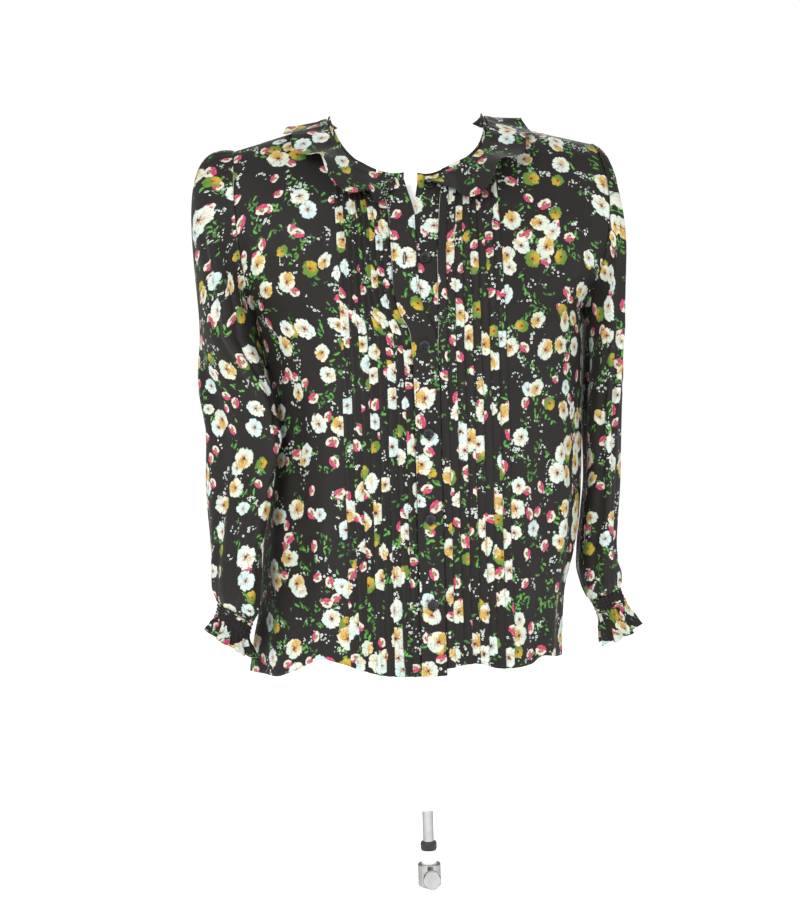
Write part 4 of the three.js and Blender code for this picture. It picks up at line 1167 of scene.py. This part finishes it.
def makePrint():
    scatter = makeScatter()
    flower, bud, spray = makeFlower(scatter), makeBud(scatter), makeSpray(scatter)
    leaf, dot = makeLeaf(scatter), makeDot(scatter)
    ground = (0.0150, 0.0132, 0.0118, 1)
    tree, g, given, result = newGroup(
        "floral_print", {"Vector": (0, 0, 0), "Ground": ground}, {"Color": "Color", "Print": "Float"}
    )
    p = given["Vector"]
    flowers = [
        g.use(
            flower, Vector=p, Cell=cell, Radius=radius, Petals=petals, Coverage=coverage, Seed=seed,
            Warmth=warmth, Petal=(*petal, 1), Blush=(*blush, 1), Cool=(*cool, 1),
        )
        for cell, radius, petals, coverage, seed, warmth, petal, blush, cool in blooms
    ]
    buds = [
        g.use(bud, Vector=p, Cell=cell, Radius=radius, Coverage=coverage, Seed=seed)
        for cell, radius, coverage, seed in budRows
    ]
    nearest = flowers[0]["Away"]
    for one in flowers[1:]:
        nearest = g.math("MINIMUM", nearest, one["Away"])
    sprays = [
        g.use(spray, Vector=p, Cell=27.0, Long=9.0, Wide=4.6, Coverage=0.46, Seed=29.0)["Mask"],
        g.use(spray, Vector=p, Cell=33.0, Long=14.0, Wide=3.6, Coverage=0.5, Seed=31.0)["Mask"],
        g.use(spray, Vector=p, Cell=38.0, Long=15.0, Wide=5.6, Coverage=0.42, Seed=33.0)["Mask"],
    ]
    dotted = [
        g.use(spray, Vector=p, Cell=25.0, Long=8.0, Wide=3.8, Coverage=0.44, Seed=37.0)["Mask"],
        g.use(spray, Vector=p, Cell=34.0, Long=12.0, Wide=3.2, Coverage=0.46, Seed=41.0)["Mask"],
        g.use(spray, Vector=p, Cell=31.0, Long=13.0, Wide=5.0, Coverage=0.4, Seed=43.0)["Mask"],
    ]
    speckled = g.fade(g.noise(p, 0.045, 2.0), 0.54, 0.6)
    layers = []
    for (cell, long, wide, coverage, seed), where in zip(leafRows, sprays):
        one = g.use(leaf, Vector=p, Cell=cell, Long=long, Wide=wide, Coverage=coverage, Seed=seed)
        layers.append((one["Color"], g.math("MULTIPLY", one["Mask"], where)))
    for (cell, radius, coverage, seed), where in zip(dotRows, dotted):
        one = g.use(dot, Vector=p, Cell=cell, Radius=radius, Coverage=coverage, Seed=seed)
        pale = g.mix(one["Random"], (0.45, 0.62, 0.58, 1), (0.72, 0.74, 0.68, 1))
        layers.append((pale, g.math("MULTIPLY", one["Mask"], where)))
    speck = g.use(dot, Vector=p, Cell=4.6, Radius=0.65, Hollow=0.0, Coverage=0.3, Seed=23.0)
    warm = g.mix(g.fade(speck["Random"], 0.45, 0.55), (0.34, 0.02, 0.03, 1), (0.5, 0.32, 0.05, 1))
    layers.append((warm, g.math("MULTIPLY", speck["Mask"], speckled)))
    for one in [buds[1], flowers[2], buds[0], flowers[3], flowers[1], flowers[0]]:
        layers.append((one["Color"], one["Mask"]))
    colour, printed = given["Ground"], 0.0
    for paint, mask in layers:
        colour = g.mix(mask, colour, paint)
        printed = g.math("MAXIMUM", printed, mask)
    g.put(result["Color"], colour)
    g.put(result["Print"], printed)
    return tree


# Fine plain weave and the soft crepe unevenness of the thread, as a height.
def makeWeave():
    tree, g, given, result = newGroup("weave", {"Vector": (0, 0, 0), "Thread": 0.28}, {"Height": "Float"})
    q = g.scaled(given["Vector"], g.math("DIVIDE", 3.1416, given["Thread"]))
    x, y, _ = g.split(q)
    cross = g.math("MULTIPLY", g.math("SINE", x), g.math("SINE", y))
    crepe = g.noise(given["Vector"], 1.6, 3.0)
    g.put(result["Height"], g.math("ADD", g.math("MULTIPLY", cross, 0.35), crepe))
    return tree


def newMaterial(name):
    material = bpy.data.materials.new(name)
    material.use_nodes = True
    graph = Graph(material.node_tree)
    return material, graph, material.node_tree.nodes["Principled BSDF"]


clothLook = {
    "roughness": 0.66,
    "specular": 0.2,
    "sheen": 0.03,
    "weaveBump": 0.1,
    "wear": 0.25,
}


def makeCloth():
    material, g, shader = newMaterial("floral_cloth")
    place = g.scaled(g.add("ShaderNodeUVMap", uv_map="UVMap").outputs[0], 1000.0)
    pattern = g.use(makePrint(), Vector=place)
    height = g.use(makeWeave(), Vector=place)["Height"]
    tone = g.noise(place, 0.02, 3.0)
    worn = g.math("MULTIPLY", g.fade(tone, 0.3, 0.75), clothLook["wear"])
    colour = g.mix(worn, pattern["Color"], g.mix(0.88, (0.075, 0.068, 0.06, 1), pattern["Color"]))
    g.put(shader.inputs["Base Color"], colour)
    g.put(shader.inputs["Roughness"], g.math("MULTIPLY_ADD", height, 0.12, clothLook["roughness"] - 0.06))
    g.put(shader.inputs["Specular IOR Level"], clothLook["specular"])
    g.put(shader.inputs["Sheen Weight"], clothLook["sheen"])
    g.put(shader.inputs["Sheen Roughness"], 0.6)
    g.put(shader.inputs["Sheen Tint"], (0.6, 0.56, 0.52, 1))
    bump = g.add("ShaderNodeBump")
    g.put(bump.inputs["Strength"], clothLook["weaveBump"])
    g.put(bump.inputs["Distance"], 0.0003)
    g.put(bump.inputs["Height"], height)
    g.put(shader.inputs["Normal"], bump.outputs[0])
    return material


# Rigid finishes.
def roughShader(name, base, roughness, spread, scale, bump, metallic=0.0, specular=0.5):
    material, g, shader = newMaterial(name)
    place = g.add("ShaderNodeTexCoord").outputs["Object"]
    grain = g.noise(place, scale, 4.0, "3D")
    broad = g.noise(place, scale * 0.06, 2.0, "3D")
    darker = tuple(0.86 * v for v in base)
    g.put(shader.inputs["Base Color"], g.mix(g.fade(broad, 0.35, 0.7), (*base, 1), (*darker, 1)))
    g.put(shader.inputs["Roughness"], g.math("MULTIPLY_ADD", grain, spread, roughness - spread / 2))
    shader.inputs["Metallic"].default_value = metallic
    shader.inputs["Specular IOR Level"].default_value = specular
    relief = g.add("ShaderNodeBump")
    relief.inputs["Strength"].default_value = 0.25
    relief.inputs["Distance"].default_value = bump
    g.put(relief.inputs["Height"], grain)
    g.put(shader.inputs["Normal"], relief.outputs[0])
    return material, g, shader


def makeTrims():
    chrome, g, shader = roughShader("chrome", (0.5, 0.51, 0.5), 0.16, 0.12, 1400, 0.00001, metallic=1.0)
    # The chrome's colour darkens towards its edges, where it turns away from the camera: a painted dark
    # reflection.
    paintedEdgeReflection = g.add("ShaderNodeLayerWeight")
    paintedEdgeReflection.inputs["Blend"].default_value = 0.45
    base = shader.inputs["Base Color"].links[0].from_socket
    g.put(shader.inputs["Base Color"], g.mix(paintedEdgeReflection.outputs["Facing"], base, (0.03, 0.03, 0.03, 1)))
    shell, _, shader = roughShader("form_shell", (0.93, 0.925, 0.91), 0.62, 0.1, 900, 0.00004)
    # The form's cover glows a little: painted light that keeps it clipped white beyond what the lamps give.
    shader.inputs["Emission Color"].default_value = (1, 1, 1, 1)
    shader.inputs["Emission Strength"].default_value = 0.42
    return {
        "form_shell": shell,
        "chrome": chrome,
        "black_ring": roughShader("black_ring", (0.012, 0.012, 0.012), 0.5, 0.2, 1600, 0.00005)[0],
        "white_enamel": roughShader("white_enamel", (0.88, 0.88, 0.87), 0.28, 0.08, 500, 0.00003)[0],
        "button": roughShader("button", (0.012, 0.012, 0.014), 0.2, 0.1, 1200, 0.000008)[0],
        "thread": roughShader("thread", (0.02, 0.018, 0.016), 0.6, 0.2, 3000, 0.00005)[0],
    }


# Buttons: a rimmed dish with four sewing holes, on the plackets' outer faces.
buttons = {
    "at": [(915, "left"), (838, "left"), (749, "right"), (661, "right"), (574, "right"), (486, "right")],
    "radius": 5.7,
    "height": 2.2,
    "lift": 1.05,
    "holeAt": 1.55,
    "holeRadius": 0.75,
    "profile": [
        (0, 1.15), (0.5, 1.12), (0.62, 1.22), (0.72, 1.75), (0.8, 2.1), (0.88, 2.2), (0.95, 2.05),
        (1, 1.4), (1, 0.8), (0.9, 0.25), (0.75, 0.0), (0, 0.0),
    ],
    "columns": 72,
}


def stationAt(side, z):
    low, high = 0.0, 1.0
    for _ in range(30):
        middle = (low + high) / 2
        if frontAt(side, 0, middle)[2] < z:
            low = middle
        else:
            high = middle
    return low


def layerOf(side):
    return plackets["layer"] if side is right else -plackets["layer"]


def placketFrame(side, z):
    s, layer = stationAt(side, z), layerOf(side)
    centre = placketPoint(side, 0, s, layer)
    across = unit(placketPoint(side, 5, s, layer) - placketPoint(side, -5, s, layer))
    up = placketPoint(side, 0, s + 0.01, layer) - placketPoint(side, 0, s - 0.01, layer)
    out = unit(np.cross(across, up))
    return centre, across, np.cross(out, across), out


def plainMesh(name, points, faces, material, smooth=True):
    mesh = bpy.data.meshes.new(name)
    mesh.from_pydata((np.array(points) * mm).tolist(), [], faces)
    mesh.polygons.foreach_set("use_smooth", [smooth] * len(mesh.polygons))
    mesh.materials.append(material)
    mesh.update()
    piece = bpy.data.objects.new(name, mesh)
    scene.collection.objects.link(piece)
    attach(piece, "root")
    return piece


def buildButton(index, z, side, material):
    reach, high = np.array(buttons["profile"]).T
    top = int(np.argmax(high))
    fine = np.linspace(0, reach[top], 26)
    radii = np.concatenate([fine[1:], reach[top + 1 : -1]]) * buttons["radius"]
    heights = np.concatenate([np.interp(fine[1:], reach[: top + 1], high[: top + 1]), high[top + 1 : -1]])
    angle = np.linspace(0, 2 * np.pi, buttons["columns"], endpoint=False)[None, :]
    x, y = radii[:, None] * np.cos(angle), radii[:, None] * np.sin(angle)
    h = heights[:, None] + 0 * x
    onTop = np.arange(len(radii))[:, None] < len(fine) - 4
    for k in range(4):
        turn = np.pi / 4 + k * np.pi / 2
        away = np.hypot(x - buttons["holeAt"] * np.cos(turn), y - buttons["holeAt"] * np.sin(turn))
        h = np.where(onTop, h - 0.95 * (1 - ease((away - buttons["holeRadius"] * 0.7) / 0.35)), h)
    centre, across, up, out = placketFrame(side, z)
    centre = centre + out * buttons["lift"]
    ring = centre + x[..., None] * across + y[..., None] * up + h[..., None] * out
    rows, columns = x.shape
    points = ring.reshape(-1, 3).tolist() + [list(centre + out * high[0]), list(centre)]
    faces = []
    for i in range(rows - 1):
        for j in range(columns):
            k = (j + 1) % columns
            faces.append((i * columns + j, (i + 1) * columns + j, (i + 1) * columns + k, i * columns + k))
    for j in range(columns):
        k = (j + 1) % columns
        faces.append((rows * columns, j, k))
        faces.append((rows * columns + 1, (rows - 1) * columns + k, (rows - 1) * columns + j))
    return plainMesh(f"button_{index}_shaped", points, faces, material)


# Stitches: short threads repeated along a line by Geometry Nodes.
stitches = {"spacing": 3.4, "length": 2.5, "radius": 0.17, "above": 0.28, "uneven": 0.12, "seed": 4}


def stitchNodes():
    tree = bpy.data.node_groups.new("stitches", "GeometryNodeTree")
    for key, kind in (("Line", "Geometry"), ("Spacing", "Float"), ("Length", "Float"), ("Radius", "Float"),
                      ("Uneven", "Float"), ("Seed", "Int"), ("Material", "Material")):
        tree.interface.new_socket(key, in_out="INPUT", socket_type="NodeSocket" + kind)
    tree.interface.new_socket("Threads", in_out="OUTPUT", socket_type="NodeSocketGeometry")
    g = Graph(tree)
    given = g.add("NodeGroupInput").outputs
    toCurve = g.add("GeometryNodeMeshToCurve")
    g.put(toCurve.inputs["Mesh"], given["Line"])
    even = g.add("GeometryNodeResampleCurve", mode="LENGTH")
    g.put(even.inputs["Curve"], toCurve.outputs[0])
    g.put(even.inputs["Length"], given["Spacing"])
    thread = g.add("GeometryNodeMeshUVSphere")
    thread.inputs["Segments"].default_value = 6
    thread.inputs["Rings"].default_value = 5
    thread.inputs["Radius"].default_value = 1
    scale = g.add("FunctionNodeRandomValue", data_type="FLOAT")
    less = g.math("SUBTRACT", 1.0, given["Uneven"])
    g.put(scale.inputs["Min"], less)
    g.put(scale.inputs["Max"], g.math("ADD", 1.0, given["Uneven"]))
    g.put(scale.inputs["Seed"], given["Seed"])
    turn = g.add("FunctionNodeAlignRotationToVector", axis="Z")
    g.put(turn.inputs["Vector"], g.add("GeometryNodeInputTangent").outputs[0])
    half = g.math("MULTIPLY", given["Length"], 0.5)
    size = g.join(given["Radius"], given["Radius"], g.math("MULTIPLY", half, scale.outputs["Value"]))
    placed = g.add("GeometryNodeInstanceOnPoints")
    g.put(placed.inputs["Points"], even.outputs[0])
    g.put(placed.inputs["Instance"], thread.outputs[0])
    g.put(placed.inputs["Rotation"], turn.outputs[0])
    g.put(placed.inputs["Scale"], size)
    real = g.add("GeometryNodeRealizeInstances")
    g.put(real.inputs[0], placed.outputs[0])
    painted = g.add("GeometryNodeSetMaterial")
    g.put(painted.inputs["Geometry"], real.outputs[0])
    g.put(painted.inputs["Material"], given["Material"])
    g.put(g.add("NodeGroupOutput").inputs[0], painted.outputs[0])
    return tree


def sew(name, lines, tree, material):
    points, edges = [], []
    for line in lines:
        start = len(points)
        points += (line * mm).tolist()
        edges += [(start + i, start + i + 1) for i in range(len(line) - 1)]
    mesh = bpy.data.meshes.new(name + "_line")
    mesh.from_pydata(points, edges, [])
    piece = bpy.data.objects.new(name, mesh)
    scene.collection.objects.link(piece)
    nodes = piece.modifiers.new("stitches", "NODES")
    nodes.node_group = tree
    values = {
        "Spacing": stitches["spacing"] * mm, "Length": stitches["length"] * mm, "Seed": stitches["seed"],
        "Radius": stitches["radius"] * mm, "Uneven": stitches["uneven"], "Material": material,
    }
    for item in tree.interface.items_tree:
        if item.item_type == "SOCKET" and item.name in values:
            nodes[item.identifier] = values[item.name]
    ready = piece.evaluated_get(bpy.context.evaluated_depsgraph_get())
    plain = bpy.data.meshes.new_from_object(ready)
    piece.modifiers.remove(nodes)
    piece.data = plain
    plain.name = name
    plain.polygons.foreach_set("use_smooth", [True] * len(plain.polygons))
    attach(piece, "root")
    return piece


def placketLines(side):
    s = np.linspace(0.012, 0.992, 320)
    lines = []
    for x in (-plackets["stitchAt"], plackets["stitchAt"]):
        p = placketPoint(side, x + 0 * s, s, layerOf(side))
        lines.append(p + point(0 * s, -stitches["above"] - 0.05, 0))
    return lines


# Buttonholes: worked upright in the right placket, one for each button.
buttonholes = {"half": 6.6, "wide": 0.95, "thread": 0.42, "bars": 96, "above": 0.55}


def buildButtonholes(material):
    points, faces = [], []
    steps, around = buttonholes["bars"], 8
    for z, _ in buttons["at"]:
        centre, across, up, out = placketFrame(right, z)
        t = np.linspace(0, 2 * np.pi, steps, endpoint=False)
        wide, high = buttonholes["wide"] * np.cos(t), buttonholes["half"] * np.sin(t)
        wide = np.sign(wide) * np.abs(wide) ** 0.5 * buttonholes["wide"] ** 0.5
        line = centre + wide[:, None] * across + high[:, None] * up + buttonholes["above"] * out
        along = unit(np.roll(line, -1, 0) - np.roll(line, 1, 0))
        sideways = unit(np.cross(along, out))
        thick = buttonholes["thread"] * (1 + 0.22 * (np.arange(steps) % 2))
        a = np.linspace(0, 2 * np.pi, around, endpoint=False)
        ring = sideways[:, None] * np.cos(a)[None, :, None] + out * 0.55 * np.sin(a)[None, :, None]
        ring = line[:, None] + ring * thick[:, None, None]
        start = len(points)
        points += ring.reshape(-1, 3).tolist()
        for i in range(steps):
            for j in range(around):
                k, m = (i + 1) % steps, (j + 1) % around
                corners = (i * around + j, k * around + j, k * around + m, i * around + m)
                faces.append(tuple(start + n for n in corners))
    return plainMesh("buttonhole_threads", points, faces, material)


cloth = makeCloth()
trims = makeTrims()
print("materials made")
formCover = buildForm(trims["form_shell"])
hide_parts("form_torso")
backCloth = buildBack(cloth)
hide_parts("back")
sewing = stitchNodes()
for side in (right, left):
    name = side["name"]
    front, sleeve, cuff = buildFront(side, cloth), buildSleeve(side, cloth), buildCuff(side, cloth)
    placket = buildPlacket(side, layerOf(side), cloth)
    seams = sew(f"placket_{name}_stitches", placketLines(side), sewing, trims["thread"])
    for piece, node in ((front, "front"), (sleeve, "sleeve"), (cuff, "cuff"), (placket, "placket")):
        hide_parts(f"{node}_{name}")
    if side is right:
        holes = buildButtonholes(trims["thread"])
    print(name, "side built")
bindingCloth, frillCloth = buildBinding(cloth), buildFrill(cloth)
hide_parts("neck_binding")
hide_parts("collar_frill")
print("collar built")
for index, (z, name) in enumerate(buttons["at"], 1):
    shaped = buildButton(index, z, right if name == "right" else left, trims["button"])
    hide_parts(f"button_{index}")
finishes = {
    "form_rod": "chrome", "form_tube": "white_enamel", "form_clamp": "chrome", "form_knob": "chrome",
    "form_ring": "black_ring", "form_base": "white_enamel",
}
for node, finish in finishes.items():
    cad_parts[node].material_slots[0].material = trims[finish]
print("trims built")


# The photo's camera: level with the waist, a little to the blouse's right, rolled a little.
camera = {
    "azimuth": 5,
    "pitch": 2.5,
    "roll": 1.8,
    "distance": 2000,
    "height": 719.7,
    "aside": 17.85,
    "focalPixels": 1860,
    "widePixels": 800,
}


def placeCamera():
    a, e, r = (math.radians(camera[key]) for key in ("azimuth", "pitch", "roll"))
    ahead = Vector((math.sin(a) * math.cos(e), math.cos(a) * math.cos(e), -math.sin(e)))
    across = Vector((math.cos(a), -math.sin(a), 0))
    up = across.cross(ahead)
    place = Vector((-math.sin(a) * camera["distance"], -math.cos(a) * camera["distance"], camera["height"]))
    place -= across * camera["aside"]
    x = across * math.cos(r) - up * math.sin(r)
    y = across * math.sin(r) + up * math.cos(r)
    turn = Matrix((x, y, -ahead)).transposed().to_4x4()
    data = bpy.data.cameras.new("camera")
    data.sensor_fit = "HORIZONTAL"
    data.sensor_width = 36
    data.lens = 36 * camera["focalPixels"] / camera["widePixels"]
    data.clip_end = 50
    eye = bpy.data.objects.new("camera", data)
    eye.matrix_world = Matrix.Translation(place * mm) @ turn
    scene.collection.objects.link(eye)
    scene.camera = eye


studio = {
    "seen": 1.06,
    "lit": 0.5,
    "key": {"place": (-1.5, -2.6, 1.9), "size": 1.1, "power": 62},
    "fill": {"place": (2.3, -2.0, 1.2), "size": 1.8, "power": 20},
    "rim": {"place": (0.6, 2.0, 2.4), "size": 1.6, "power": 30},
}


def buildStudio():
    world = bpy.data.worlds.new("studio")
    scene.world = world
    world.use_nodes = True
    sky = world.node_tree.nodes["Background"]
    sky.inputs["Color"].default_value = (1, 1, 1, 1)
    g = Graph(world.node_tree)
    direct = g.add("ShaderNodeLightPath").outputs["Is Camera Ray"]
    strength = g.math("MULTIPLY_ADD", direct, studio["seen"] - studio["lit"], studio["lit"])
    g.put(sky.inputs["Strength"], strength)
    for name in ("key", "fill", "rim"):
        one = studio[name]
        data = bpy.data.lights.new(name, "AREA")
        data.size = one["size"]
        data.energy = one["power"]
        lamp = bpy.data.objects.new(name, data)
        lamp.location = one["place"]
        aim = Vector((0, 0, 0.7)) - lamp.location
        lamp.rotation_euler = aim.to_track_quat("-Z", "Y").to_euler()
        scene.collection.objects.link(lamp)
    bpy.ops.mesh.primitive_plane_add(size=40, location=(0, 0, 0))
    floor = bpy.context.object
    floor.name = "floor"
    floor.data.materials.append(floorMaterial())


def floorMaterial():
    material = bpy.data.materials.new("floor_white")
    material.use_nodes = True
    shader = material.node_tree.nodes["Principled BSDF"]
    shader.inputs["Base Color"].default_value = (0.92, 0.92, 0.92, 1)
    shader.inputs["Roughness"].default_value = 0.9
    shader.inputs["Emission Color"].default_value = (1, 1, 1, 1)
    shader.inputs["Emission Strength"].default_value = 0.6
    return material


placeCamera()
buildStudio()
scene.view_settings.view_transform = "Standard"
